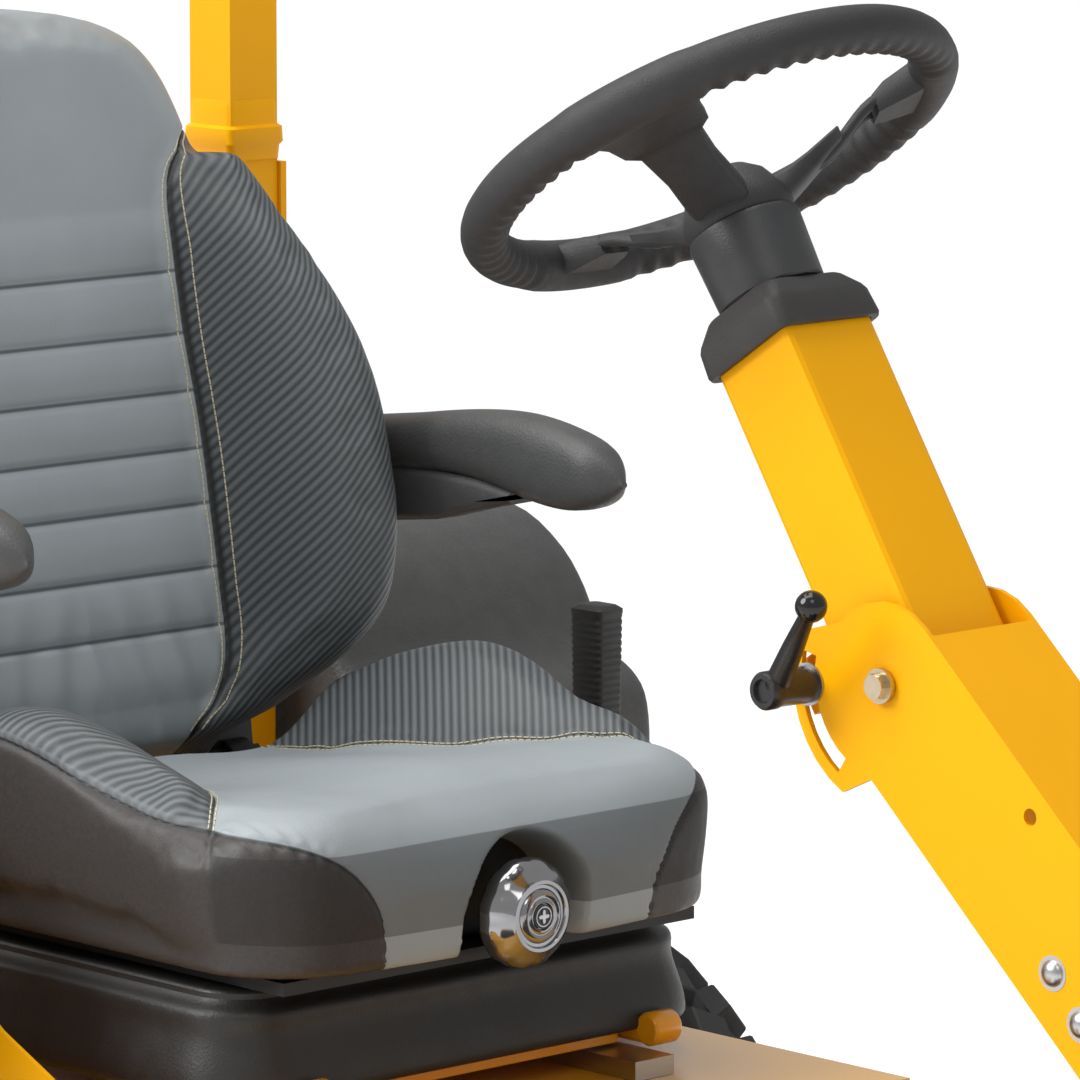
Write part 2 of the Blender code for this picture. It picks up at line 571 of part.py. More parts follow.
CORNER = 0.075
front_line = -0.027
cushion_plan = [(-0.455, -SEAT_HALF)]
cushion_plan += arc(front_line - CORNER + 0.012, CORNER - SEAT_HALF, CORNER, -90, -20, 4)
cushion_plan += arc(-0.50, 0.0, 0.50, -14, 14, 6)
cushion_plan += arc(front_line - CORNER + 0.012, SEAT_HALF - CORNER, CORNER, 20, 90, 4)
cushion_plan += [(-0.455, SEAT_HALF)]
seat_cushion = outline("seat_cushion", [cushion_plan], 0.114, XY, SEAT_BOTTOM + 0.057, vinyl)
bolsters = [outline("seat_bolster_" + tag, [[(-0.455, 0.78), (-0.13, 0.78), (-0.08, 0.85), (-0.20, 0.885),
                                             (-0.33, 0.900), (-0.44, 0.880)]], 0.09, XZ,
                    -side * (SEAT_HALF - 0.0455))
            for tag, side in (("left", 1), ("right", -1))]
join(seat_cushion, *bolsters)
KNOB_CENTRE = Vector((-0.026, 0, 0.772))
knob_recess = outline("knob_recess",
                      [arc(0, KNOB_CENTRE.z, 0.054, 0, 180, 8) + [(-0.054, 0.73), (0.054, 0.73)]],
                      0.10, YZ, 0.010)
cut(seat_cushion, knob_recess)
weight_knob = turned("weight_knob", [(0, 0.034), (0.026, 0.034), (0.041, 0.022), (0.041, 0.006), (0.034, 0.0),
                                     (0.007, 0.0), (0.007, -0.012), (0, -0.012)],
                     KNOB_CENTRE, X_AXIS, 18, chrome)
ride_axis = body("seat_suspension", (-0.24, 0, BASE_TOP), [seat_pan, seat_cushion, bellows], slide_axis)
body("weight_knob", KNOB_CENTRE, [weight_knob], ride_axis)

recline = math.radians(BACK_RECLINE)
UP_BACK = Vector((-math.sin(recline), 0, math.cos(recline)))
OUT_BACK = Vector((math.cos(recline), 0, math.sin(recline)))
back_plane = Matrix.Translation((-0.4985, 0, 0.826)) @ Matrix((Y_AXIS, UP_BACK,
                                                               OUT_BACK)).transposed().to_4x4()
half_back = [(0.0, 0.0), (0.235, 0.0), (0.270, 0.03), (0.282, 0.09), (0.271, 0.16), (0.262, 0.28),
             (0.240, 0.38),
             (0.205, 0.46), (0.168, 0.51), (0.15, 0.55), (0.10, 0.578), (0.0, 0.586)]
back_loop = half_back + [(-y, h) for y, h in reversed(half_back[1:-1])]
backrest = outline("backrest", [back_loop], 0.095, back_plane, -0.0475, vinyl)
back_bolsters = [outline("back_bolster_" + tag, [[(0.02, -0.02), (0.45, -0.02), (0.45, 0.04), (0.34, 0.100),
                                                  (0.22, 0.125), (0.10, 0.115), (0.06, 0.065)]], 0.086,
                         back_plane @ YZ, side * 0.217)
                 for tag, side in (("left", 1), ("right", -1))]
join(backrest, *back_bolsters)
for step in backrest.modifiers:
    step.solver = "MANIFOLD"
recline_axis = body("backrest", BACK_HINGE, [backrest], ride_axis)
arm_loop = [(-0.555, 1.005), (-0.47, 0.984), (-0.417, 0.993), (-0.358, 1.010), (-0.275, 1.015),
            (-0.237, 1.020),
            (-0.218, 1.038), (-0.224, 1.058), (-0.265, 1.075), (-0.312, 1.083), (-0.40, 1.079),
            (-0.486, 1.065),
            (-0.56, 1.052)]
for tag, side in (("left", 1), ("right", -1)):
    armrest = outline("armrest_" + tag, [arm_loop], ARM_WIDTH, XZ, -side * ARM_Y, charcoal)
    round_edges(armrest, 0.009)
    body("armrest_" + tag, ARM_PIVOT + Y_AXIS * side * ARM_Y, [armrest], recline_axis)

# ---------------------------------------------------------------- steering column
slope = math.radians(LOWER_SLOPE)
DOWN = Vector((math.cos(slope), 0, -math.sin(slope)))
FACE = Vector((math.sin(slope), 0, math.cos(slope)))
lower_plane = Matrix.Translation(TILT_PIVOT) @ Matrix((DOWN, FACE, DOWN.cross(FACE))).transposed().to_4x4()
LOWER_END = 0.36
half_depth = LOWER_DEPTH / 2
side_profile = [(LOWER_END, -half_depth), (LOWER_END, half_depth), (0.005, half_depth)]
side_profile += arc(0.0, 0.0, half_depth, 90, 180, 6)
side_profile += arc(0.0, 0.0, 0.088, 204, 286, 8)
side_profile += [(0.036, -half_depth)]
column_lower = outline("column_lower", [side_profile], LOWER_WIDTH, lower_plane, 0.0, yellow)
inner_profile = [(-0.2, 0.2), (-0.2, -0.2), (0.5, -0.2), (0.5, half_depth - SHEET),
                 (0.0055, half_depth - SHEET),
                 (0.0055, 0.2)]
column_hollow = outline("column_hollow", [inner_profile], LOWER_WIDTH - 2 * SHEET, lower_plane, 0.0)
slot_path = arc(0, 0, 0.0790, 211, 279, 8) + arc(0, 0, 0.0660, 279, 211, 8)
quadrant_slot = outline("quadrant_slot", [slot_path], 0.2, lower_plane, 0.0)
PIVOT_BORE = 0.0066
pivot_bore = drum("pivot_bore", TILT_PIVOT, Y_AXIS, PIVOT_BORE, 0.2)
column_hole = drum("column_hole", (0.540, 0, 0.927), Y_AXIS, 0.006, 0.2)
cut(column_lower, column_hollow, quadrant_slot, pivot_bore, column_hole)

PEDESTAL_HALF = LOWER_WIDTH / 2 - SHEET - 0.0006
inset = half_depth - SHEET - 0.0006


def on_column(along, off):
    """A point in the XZ plane from the tilt pivot, along and across the lower column."""
    place = TILT_PIVOT + DOWN * along + FACE * off
    return place.x, place.z


foot_rear = 0.80
foot_front = 0.93
pedestal_loop = [on_column(0.20, -inset + 0.005), (foot_rear, toe_height(foot_rear) + GAP),
                 (foot_front, toe_height(foot_front) + GAP), on_column(0.50, inset), on_column(0.20, inset)]
column_pedestal = outline("column_pedestal", [pedestal_loop], 2 * PEDESTAL_HALF, XZ, 0.0, yellow)
wall = 0.005
hollow_loop = [on_column(0.15, -inset + 0.011), (foot_rear + 0.006, toe_height(foot_rear) - 0.03),
               (foot_front - 0.006, toe_height(foot_front) - 0.03), on_column(0.495, inset - wall),
               on_column(0.15, inset - wall)]
pedestal_hollow = outline("pedestal_hollow", [hollow_loop], 2 * (PEDESTAL_HALF - SHEET), XZ, 0.0)
cut(column_pedestal, pedestal_hollow)

lean = math.radians(UPPER_LEAN)
UP_COLUMN = Vector((-math.cos(lean), 0, math.sin(lean)))
FRONT_COLUMN = Vector((math.sin(lean), 0, math.cos(lean)))
upper_frame = Matrix.Translation(TILT_PIVOT) @ Matrix((FRONT_COLUMN, Y_AXIS, UP_COLUMN)).transposed().to_4x4()
UPPER_LOW = -0.02
UPPER_HIGH = 0.284
upper_loops = [rounded(UPPER_DEPTH, UPPER_WIDTH, 0.005, steps=2),
               rounded(UPPER_DEPTH - 0.006, UPPER_WIDTH - 0.006, 0.0025)]
column_upper = outline("column_upper", upper_loops, UPPER_HIGH - UPPER_LOW, upper_frame,
                       (UPPER_HIGH + UPPER_LOW) / 2, yellow)
CLAMP = Vector((-0.0647, 0, 0.0325))
clamp_ears = [block("clamp_ear_" + tag, (-0.080, min(side * 0.036, side * 0.043), 0.015),
                    (-0.036, max(side * 0.036, side * 0.043), 0.052), frame=upper_frame)
              for tag, side in (("left", 1), ("right", -1))]
clamp_centre = upper_frame @ CLAMP
clamp_bore = drum("clamp_bore", clamp_centre, Y_AXIS, 0.0056, 0.2)
upper_bore = drum("upper_bore", TILT_PIVOT, Y_AXIS, PIVOT_BORE, 0.2)
join(column_upper, *clamp_ears)
cut(column_upper, clamp_bore, upper_bore)

bolt_span = LOWER_WIDTH / 2
tilt_pivot_bolt = turned("tilt_pivot_bolt",
                         [(0, bolt_span + 0.011), (0.0085, bolt_span + 0.011), (0.0085, bolt_span + 0.003),
                          (0.012, bolt_span + 0.003), (0.012, bolt_span + 0.0004),
                          (0.006, bolt_span + 0.0004),
                          (0.006, -bolt_span - 0.0004), (0.012, -bolt_span - 0.0004),
                          (0.012, -bolt_span - 0.003),
                          (0.0085, -bolt_span - 0.003), (0.0085, -bolt_span - 0.011),
                          (0, -bolt_span - 0.011)],
                         TILT_PIVOT, Y_AXIS, 12, zinc)

lever_outer = -(LOWER_WIDTH / 2 + 0.0006)
tilt_lock_lever = drum("tilt_lock_lever", clamp_centre + Vector((0, lever_outer - 0.022, 0)), Y_AXIS, 0.0125,
                       0.044,
                       black, sides=16)
BALL = Vector((0.381, lever_outer - 0.0475, 1.056))
lever_root = clamp_centre + Vector((0, lever_outer - 0.034, 0))
lever_arm = drum("lever_arm", (lever_root + BALL) / 2, BALL - lever_root, 0.008, (BALL - lever_root).length,
                 sides=10,
                 tip=0.005)
lever_ball = turned("lever_ball", [(0.011 * math.cos(math.radians(a)), 0.011 * math.sin(math.radians(a)))
                                   for a in range(90, -91, -30)], BALL, Z_AXIS, 12)
clamp_bolt = drum("clamp_bolt", clamp_centre + Vector((0, -0.0125, 0)), Y_AXIS, 0.005, 0.117, sides=12)
join(tilt_lock_lever, lever_arm, lever_ball, clamp_bolt)

COLLAR_LOW = 0.2549
COLLAR_HIGH = 0.2940
column_collar = outline("column_collar", [rounded(UPPER_DEPTH + 0.012, UPPER_WIDTH + 0.012, 0.008, steps=2)],
                        COLLAR_HIGH - COLLAR_LOW, upper_frame, (COLLAR_HIGH + COLLAR_LOW) / 2, charcoal)
collar_pocket = outline("collar_pocket",
                        [rounded(UPPER_DEPTH + 0.0012, UPPER_WIDTH + 0.0012, 0.0052, steps=2)], 0.04,
                        upper_frame, UPPER_HIGH + 0.0006 - 0.02)
shaft_hole = drum("shaft_hole", upper_frame @ Vector((0, 0, COLLAR_HIGH)), UP_COLUMN, 0.0125, 0.06)
cut(column_collar, collar_pocket, shaft_hole)

steering_shaft = drum("steering_shaft", upper_frame @ Vector((0, 0, 0.19)), UP_COLUMN, 0.0095, 0.33, steel)
BOOT_LOW = 0.2946
BOOT_HIGH = 0.350
steering_boot = turned("steering_boot",
                       [(0.0405, BOOT_HIGH), (0.0385, BOOT_LOW), (0.0350, BOOT_LOW),
                        (0.0350, BOOT_HIGH - 0.01),
                        (0.0105, BOOT_HIGH - 0.006), (0.0105, BOOT_HIGH)],
                       TILT_PIVOT, UP_COLUMN, 20, charcoal, closed=True)
hub_profile = [(0, 0.392), (0.022, 0.392), (0.034, 0.380), (0.034, BOOT_HIGH + 0.0006),
               (0.0101, BOOT_HIGH + 0.0006),
               (0.0101, 0.3556), (0, 0.3556)]
steering_wheel = turned("steering_wheel", [(WHEEL_RADIUS + GRIP_RADIUS * math.cos(math.radians(a)),
                                            WHEEL_AT + GRIP_RADIUS * math.sin(math.radians(a)))
                                           for a in range(120, -240, -60)],
                        TILT_PIVOT, UP_COLUMN, 20, charcoal, closed=True)
wheel_hub = turned("wheel_hub", hub_profile, TILT_PIVOT, UP_COLUMN, 16)
SPOKE_LOW = 0.3655
spokes = []
for number, turn in enumerate((-60, 60, 180)):
    reach = WHEEL_RADIUS - 0.004
    rise = WHEEL_AT - SPOKE_LOW
    angle = math.radians(turn)
    out = FRONT_COLUMN * math.cos(angle) + Y_AXIS * math.sin(angle)
    spoke_dir = (out * (reach - 0.02) + UP_COLUMN * rise).normalized()
    across = UP_COLUMN.cross(out)
    root = upper_frame @ Vector((0, 0, SPOKE_LOW + 0.006)) + out * 0.02
    spoke_frame = Matrix.Translation(root) @ Matrix((spoke_dir, across,
                                                     spoke_dir.cross(across))).transposed().to_4x4()
    spoke_half = 0.028 if number < 2 else 0.022
    spokes.append(block("wheel_spoke_" + str(number), (0, -spoke_half, -0.006),
                        (reach - 0.012, spoke_half, 0.006),
                        frame=spoke_frame))
join(steering_wheel, wheel_hub, *spokes)

tilt_axis = body("steering_tilt", TILT_PIVOT, [column_upper, column_collar])
body("tilt_lock_lever", clamp_centre, [tilt_lock_lever], tilt_axis)
body("steering_wheel", upper_frame @ Vector((0, 0, WHEEL_AT)),
     [steering_wheel, steering_boot, steering_shaft], tilt_axis)

# ---------------------------------------------------------------- folding roll bar
POST_TOP = ROPS_PIVOT_Z - 0.052
POST_LOW = 0.345
PLATE = 0.006
tube_half = ROPS_TUBE / 2
for tag, side in (("left", 1), ("right", -1)):
    tube_loops = [rounded(ROPS_TUBE, ROPS_TUBE, 0.006, ROPS_X, side * ROPS_Y),
                  rounded(ROPS_TUBE - 2 * ROPS_WALL, ROPS_TUBE - 2 * ROPS_WALL, 0.003, ROPS_X, side * ROPS_Y)]
    post = outline("rops_post_" + tag, tube_loops, POST_TOP - POST_LOW, XY, (POST_TOP + POST_LOW) / 2, yellow)
    plates = []
    for edge, y in (("_in", -1), ("_out", 1)):
        inner = ROPS_Y + y * (tube_half + 0.0006)
        outer = inner + y * PLATE
        plates.append(block("rops_plate_" + tag + edge,
                            (ROPS_X - 0.029, min(side * inner, side * outer), ROPS_PIVOT_Z - 0.095),
                            (ROPS_X + 0.029, max(side * inner, side * outer), ROPS_PIVOT_Z + 0.034)))
    shim = block("rops_shim_" + tag, (ROPS_X - 0.020, side * ROPS_Y - tube_half - 0.002, ROPS_PIVOT_Z - 0.09),
                 (ROPS_X + 0.020, side * ROPS_Y + tube_half + 0.002, ROPS_PIVOT_Z - 0.075))
    pin_hole = drum("rops_pin_hole_" + tag, (ROPS_X, side * ROPS_Y, ROPS_PIVOT_Z), Y_AXIS, PIVOT_BORE, 0.2)
    join(post, shim, *plates)
    cut(post, pin_hole)
    reach = tube_half + PLATE + 0.0010
    turned("rops_pivot_bolt_" + tag,
           [(0, reach + 0.009), (0.010, reach + 0.009), (0.010, reach), (0.006, reach),
                                      (0.006, -reach), (0.010, -reach), (0.010, -reach - 0.009),
                                      (0, -reach - 0.009)],
           (ROPS_X, side * ROPS_Y, ROPS_PIVOT_Z), Y_AXIS, 12, zinc)


def hoop_loop(outer, inner, foot):
    """A hoop's flat band: up one leg, across the top and down the other."""
    corner = 0.16
    top = ROPS_TOP - tube_half
    band = []
    for reach, flip in ((outer, 1), (inner, -1)):
        radius = corner + reach
        right = arc(ROPS_Y - corner, top - corner, radius, 0, 90, 6)
        left = arc(corner - ROPS_Y, top - corner, radius, 90, 180, 6)
        run = [(ROPS_Y + reach, foot)] + right + left + [(-ROPS_Y - reach, foot)]
        band += run[::flip]
    return band


HOOP_FOOT = ROPS_PIVOT_Z - 0.035
rops_hoop = outline("rops_hoop", [hoop_loop(tube_half, -tube_half, HOOP_FOOT)], ROPS_TUBE, YZ, ROPS_X, yellow)
wall_half = tube_half - ROPS_WALL
hoop_hollow = outline("hoop_hollow", [hoop_loop(wall_half, -wall_half, HOOP_FOOT - 0.05)], 2 * wall_half, YZ,
                      ROPS_X)
hoop_bore = drum("hoop_bore", (ROPS_X, 0, ROPS_PIVOT_Z), Y_AXIS, PIVOT_BORE, 1.0)
cut(rops_hoop, hoop_hollow, hoop_bore)
body("rops_hoop", (ROPS_X, 0, ROPS_PIVOT_Z), [rops_hoop])

# ---------------------------------------------------------------- mower deck, spindles and chute
SPINDLES = {"left": (SIDE_SPINDLE_X, SPINDLE_Y), "centre": (MIDDLE_SPINDLE_X, 0.0),
            "right": (SIDE_SPINDLE_X, -SPINDLE_Y)}
DECK_RIGHT = DECK_HALF - 0.026
DECK_FRONT = SIDE_SPINDLE_X + 0.20
CHUTE_REAR = -0.06
CHUTE_FRONT = 0.24


def deck_outline(shrink):
    """The deck's plan: rounded lobes over the side blades and a nose over the middle one."""
    radius = BLADE_RADIUS + 0.03 - shrink
    plan = [(-0.235 + shrink, 0.60), (-0.235 + shrink, -0.60)]
    plan += [(-0.20 + shrink, -DECK_RIGHT + shrink), (DECK_FRONT, -DECK_RIGHT + shrink)]
    plan += arc(MIDDLE_SPINDLE_X, 0.0, radius, -50, 50, 8)
    plan += [(DECK_FRONT, DECK_HALF - shrink), (-0.20 + shrink, DECK_HALF - shrink)]
    return plan


SKIN = 0.005
deck_shell = outline("deck_shell", [deck_outline(0.0)], DECK_TOP - DECK_BOTTOM, XY,
                     (DECK_TOP + DECK_BOTTOM) / 2,
                     yellow)
deck_inside = outline("deck_inside", [deck_outline(SKIN)], 0.2, XY, DECK_TOP - SKIN - 0.1)
outlet = block("deck_outlet", (CHUTE_REAR + 0.01, -0.9, DECK_BOTTOM - 0.1), (0.14, -0.70, DECK_TOP - 0.02))
deck_bores = [drum("deck_bore_" + tag, (x, y, DECK_TOP), Z_AXIS, 0.0178, 0.1)
              for tag, (x, y) in SPINDLES.items()]
cut(deck_shell, deck_inside, outlet, *deck_bores)

PULLEY_RADIUS = 0.06
PULLEY_Z = 0.245
blades = []
for tag, (x, y) in SPINDLES.items():
    blade = block("blade_" + tag, (x - 0.03, y - BLADE_RADIUS, 0.105), (x + 0.03, y + BLADE_RADIUS, 0.111),
                  steel)
    pulley = turned("pulley_" + tag, [(0, 0.262), (0.02, 0.262), (0.02, 0.256), (PULLEY_RADIUS, 0.256),
                                      (PULLEY_RADIUS, 0.234), (0.0165, 0.234), (0.0165, 0.108), (0, 0.108)],
                    (x, y, 0), Z_AXIS, 12)
    join(blade, pulley)
    blades.append(blade)


def around_pulleys(radius):
    """The belt's path round the three pulleys, at a radius from their centres."""
    centres = [Vector((SPINDLES[tag][0], SPINDLES[tag][1])) for tag in ("right", "centre", "left")]
    path = []
    for i, centre in enumerate(centres):
        before = centre - centres[i - 1]
        after = centres[(i + 1) % 3] - centre
        first = math.degrees(math.atan2(before.y, before.x)) - 90
        last = math.degrees(math.atan2(after.y, after.x)) - 90
        last += 360 if last < first else 0
        path += arc(centre.x, centre.y, radius, first, last, 6)
    return path


belt_inside = PULLEY_RADIUS + 0.002
deck_belt = outline("deck_belt", [around_pulleys(belt_inside + 0.009), around_pulleys(belt_inside)], 0.013,
                    XY, PULLEY_Z,
                    bellows_rubber)

CHUTE_HINGE = Vector((0.0, -DECK_HALF + 0.012, DECK_TOP + 0.010))
chute_plate = [(-DECK_HALF, 0.2005), (-DECK_HALF + 0.022, 0.2075), (-DECK_HALF + 0.022, 0.216),
               (-DECK_HALF + 0.012, 0.40), (-DECK_HALF, 0.40)]
discharge_chute = outline("discharge_chute", [chute_plate], CHUTE_FRONT - CHUTE_REAR, YZ,
                          (CHUTE_FRONT + CHUTE_REAR) / 2,
                          charcoal)
deck_axis = body("mower_deck", (0.1, 0, DECK_TOP), [deck_shell, deck_belt])
for (tag, (x, y)), blade in zip(SPINDLES.items(), blades):
    body("blade_" + tag, (x, y, PULLEY_Z), [blade], deck_axis)
body("discharge_chute", CHUTE_HINGE, [discharge_chute], deck_axis)
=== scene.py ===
"""The looks of a ride-on zero-turn mower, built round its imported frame: +X forward, +Y left, +Z up."""

import math

import bmesh
import bpy
from mathutils import Matrix, Vector


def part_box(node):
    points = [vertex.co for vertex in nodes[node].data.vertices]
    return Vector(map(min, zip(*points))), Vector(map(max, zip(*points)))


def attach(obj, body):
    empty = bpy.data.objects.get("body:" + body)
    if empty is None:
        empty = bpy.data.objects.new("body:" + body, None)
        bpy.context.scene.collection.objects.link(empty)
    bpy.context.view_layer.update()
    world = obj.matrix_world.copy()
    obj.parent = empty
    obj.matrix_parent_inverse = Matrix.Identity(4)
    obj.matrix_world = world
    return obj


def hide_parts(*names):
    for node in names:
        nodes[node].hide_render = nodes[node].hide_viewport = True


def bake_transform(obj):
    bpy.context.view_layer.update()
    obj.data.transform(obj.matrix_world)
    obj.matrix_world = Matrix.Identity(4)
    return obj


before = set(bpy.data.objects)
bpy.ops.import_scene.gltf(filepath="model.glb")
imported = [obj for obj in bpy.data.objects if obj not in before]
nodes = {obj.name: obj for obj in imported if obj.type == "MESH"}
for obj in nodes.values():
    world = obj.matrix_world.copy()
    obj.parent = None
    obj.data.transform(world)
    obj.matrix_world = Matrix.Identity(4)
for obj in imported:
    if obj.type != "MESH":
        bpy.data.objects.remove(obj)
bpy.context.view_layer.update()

# ---------------------------------------------------------------- camera, floor and studio light
# A long lens from the operator's front right, a little above the seat, over a wide pale floor.
# The light is a white room with a soft sun on the operator's right, a ceiling lamp and a faint front lamp.
def linked(name, data):
    """A new object in the scene."""
    made = bpy.data.objects.new(name, data)
    bpy.context.scene.collection.objects.link(made)
    return made


eye = bpy.data.cameras.new("camera")
eye.sensor_width = 36.0
eye.lens = 238.3
eye.clip_end = 200.0
camera = linked("camera", eye)
camera.location = (3.74725, -3.49048, 1.82349)
azimuth, elevation = math.radians(47.0), math.radians(8.6)
towards = -Vector((math.sin(azimuth) * math.cos(elevation), -math.cos(azimuth) * math.cos(elevation),
                   math.sin(elevation)))
camera.rotation_euler = towards.to_track_quat("-Z", "Y").to_euler()
bpy.context.scene.camera = camera
bpy.context.scene.view_settings.view_transform = "Standard"

room = bpy.data.worlds.new("room")
room.use_nodes = True
room.node_tree.nodes["Background"].inputs["Color"].default_value = (1.0, 1.0, 1.0, 1.0)
room.node_tree.nodes["Background"].inputs["Strength"].default_value = 0.46
bpy.context.scene.world = room


def lamp(name, kind, place, aim, energy, size):
    """A soft lamp that looks at a point."""
    light = bpy.data.lights.new(name, kind)
    light.energy = energy
    if kind == "SUN":
        light.angle = size
    else:
        light.size = size
    holder = linked(name, light)
    holder.location = place
    holder.rotation_euler = (Vector(aim) - Vector(place)).to_track_quat("-Z", "Y").to_euler()


lamp("soft_sun", "SUN", (-3.0, -5.0, 4.9), (0.0, 0.0, 0.9), 2.55, math.radians(35))
lamp("strip_light", "AREA", (2.4, -1.6, 3.6), (0.0, 0.0, 1.0), 12.0, 1.2)
lamp("ceiling_light", "AREA", (-0.7, -0.4, 4.3), (-0.3, 0.0, 0.8), 85.0, 2.6)


class Value:
    """A shader socket that takes Python arithmetic."""

    def __init__(self, look, socket):
        self.look = look
        self.socket = socket

    def maths(self, operation, *others, clamp=False):
        values = dict(enumerate((self, *others)))
        return self.look.node("ShaderNodeMath", {"operation": operation, "use_clamp": clamp}, values)

    def __add__(self, other):
        return self.maths("ADD", other)

    def __mul__(self, other):
        return self.maths("MULTIPLY", other)

    def __sub__(self, other):
        return self.maths("SUBTRACT", other)

    def __rsub__(self, other):
        return self * -1.0 + other

    def __truediv__(self, other):
        return self.maths("DIVIDE", other)

    def __neg__(self):
        return self * -1.0

    __radd__ = __add__
    __rmul__ = __mul__

    def sine(self):
        return self.maths("SINE")

    def size(self):
        return self.maths("ABSOLUTE")

    def ramp(self, low, high):
        """0 below low, 1 above high, smooth between."""
        return self.look.node("ShaderNodeMapRange", {"interpolation_type": "SMOOTHSTEP"},
                              {"Value": self, "From Min": low, "From Max": high})


class Look:
    """A procedural finish around one Principled shader."""

    def __init__(self, name, colour, roughness, metallic=0.0):
        self.made = bpy.data.materials.new(name)
        self.made.use_nodes = True
        self.tree = self.made.node_tree
        self.shader = self.tree.nodes["Principled BSDF"]
        self.colour = colour
        self.put("Base Color", (*colour, 1.0))
        self.put("Roughness", roughness)
        self.put("Metallic", metallic)
        self.made.diffuse_color = (*colour, 1.0)

    def node(self, kind, settings, values, output=0):
        made = self.tree.nodes.new(kind)
        for key, setting in settings.items():
            setattr(made, key, setting)
        for key, value in values.items():
            if isinstance(value, Value):
                self.tree.links.new(value.socket, made.inputs[key])
            else:
                made.inputs[key].default_value = value
        return Value(self, made.outputs[output])

    def put(self, name, value):
        if isinstance(value, Value):
            self.tree.links.new(value.socket, self.shader.inputs[name])
        else:
            self.shader.inputs[name].default_value = value

    def position(self):
        return self.node("ShaderNodeTexCoord", {}, {}, "Object")

    def axes(self):
        split = self.node("ShaderNodeSeparateXYZ", {}, {"Vector": self.position()})
        outputs = split.socket.node.outputs
        return [Value(self, outputs[i]) for i in range(3)]

    def speckle(self, scale, detail=2.0, stretch=(1.0, 1.0, 1.0)):
        place = self.node("ShaderNodeMapping", {}, {"Vector": self.position(), "Scale": stretch})
        return self.node("ShaderNodeTexNoise", {}, {"Vector": place, "Scale": scale, "Detail": detail})

    def pebble(self, scale):
        return self.node("ShaderNodeTexVoronoi", {"feature": "F1"},
                         {"Vector": self.position(), "Scale": scale})

    def blend(self, factor, first, second):
        """A colour between two colours."""
        made = self.tree.nodes.new("ShaderNodeMix")
        made.data_type = "RGBA"
        for socket, value in ((made.inputs[0], factor), (made.inputs[6], first), (made.inputs[7], second)):
            if isinstance(value, Value):
                self.tree.links.new(value.socket, socket)
            elif isinstance(value, tuple):
                socket.default_value = (*value[:3], 1.0)
            else:
                socket.default_value = value
        return Value(self, made.outputs[2])

    def bump(self, height, strength, distance):
        self.put("Normal", self.node("ShaderNodeBump", {}, {"Height": height, "Strength": strength,
                                                            "Distance": distance}))

    def shade(self, amount, field):
        """Darkens and lightens the base colour by a field around 0.5."""
        dark = tuple(c * (1.0 - amount) for c in self.colour)
        light = tuple(min(1.0, c * (1.0 + amount)) for c in self.colour)
        self.put("Base Color", self.blend(field, dark, light))


floor_mesh = bpy.data.meshes.new("floor")
floor_shape = bmesh.new()
bmesh.ops.create_grid(floor_shape, x_segments=1, y_segments=1, size=60.0)
floor_shape.to_mesh(floor_mesh)
floor_shape.free()
floor = linked("floor", floor_mesh)
pale = Look("pale_floor", (0.93, 0.93, 0.93), 0.9)
pale.shade(0.015, pale.speckle(3.0))
pale.put("Emission Color", (1.0, 1.0, 1.0, 1.0))
pale.put("Emission Strength", 0.17)
floor_mesh.materials.append(pale.made)


# ---------------------------------------------------------------- painted steel: frame, column and deck
# Sheet and tube steel, powder coated in a warm yellow with a fine orange peel, or in black or glossy amber.
def painted(name, colour, roughness, coat=0.25):
    look = Look(name, colour, roughness)
    look.shade(0.05, look.speckle(6.0, 3.0))
    look.put("Roughness", look.speckle(40.0, 2.0) * 0.12 + (roughness - 0.06))
    look.shader.inputs["Coat Weight"].default_value = coat
    look.shader.inputs["Specular IOR Level"].default_value = 0.15 if coat < 0.1 else 0.35
    look.shader.inputs["Coat Roughness"].default_value = 0.18
    look.bump(look.speckle(900.0, 1.0), 0.12, 0.0004)
    return look.made


def speckled(name, colour, roughness, metallic=0.0, shade=(0.1, 90.0), grain=None):
    """An even finish: shade is (amount, scale, detail, stretch), grain (scale, detail, strength, depth)."""
    look = Look(name, colour, roughness, metallic)
    look.shade(shade[0], look.speckle(*shade[1:]))
    if grain:
        scale, detail, strength, depth = grain
        look.bump(look.speckle(scale, detail), strength, depth)
    return look.made


yellow_paint = painted("yellow_powder_coat", (0.93, 0.425, 0.0003), 0.42, 0.03)
black_paint = painted("black_powder_coat", (0.018, 0.018, 0.019), 0.5, 0.1)
amber_paint = painted("amber_gloss_paint", (0.90, 0.36, 0.004), 0.24, 0.6)


def dress(look, *names):
    """Gives CAD pieces their finish."""
    for name in names:
        mesh = nodes[name].data
        mesh.materials.clear()
        mesh.materials.append(look)


dress(yellow_paint, "main_frame", "seat_box", "column_lower", "column_upper", "column_pedestal",
      "rops_post_left", "rops_post_right", "deck_shell", "front_knuckle_left", "front_knuckle_right",
      "engine_guard")
dress(black_paint, "floor_pan", "front_axle_beam", "seat_pan", "forward_pedal", "reverse_pedal",
      "throttle_lever")
deck_gloss = painted("deck_gloss_paint", (0.86, 0.42, 0.02), 0.22, 1.0)
dress(deck_gloss, "seat_deck")


# ---------------------------------------------------------------- steering wheel
# A moulded wheel of soft dark plastic over a steel core: an oval rim with finger scallops on its inner
# underside, three dished spokes and a deep hub. It turns with the hub cover and the shaft.
def moulded(name, colour, roughness, grain=700.0, depth=0.35):
    look = Look(name, colour, roughness)
    look.shade(0.22, look.speckle(55.0, 4.0))
    look.put("Roughness", look.speckle(150.0, 2.0) * 0.16 + (roughness - 0.08))
    look.bump(look.pebble(grain), depth, 0.0005)
    return look.made


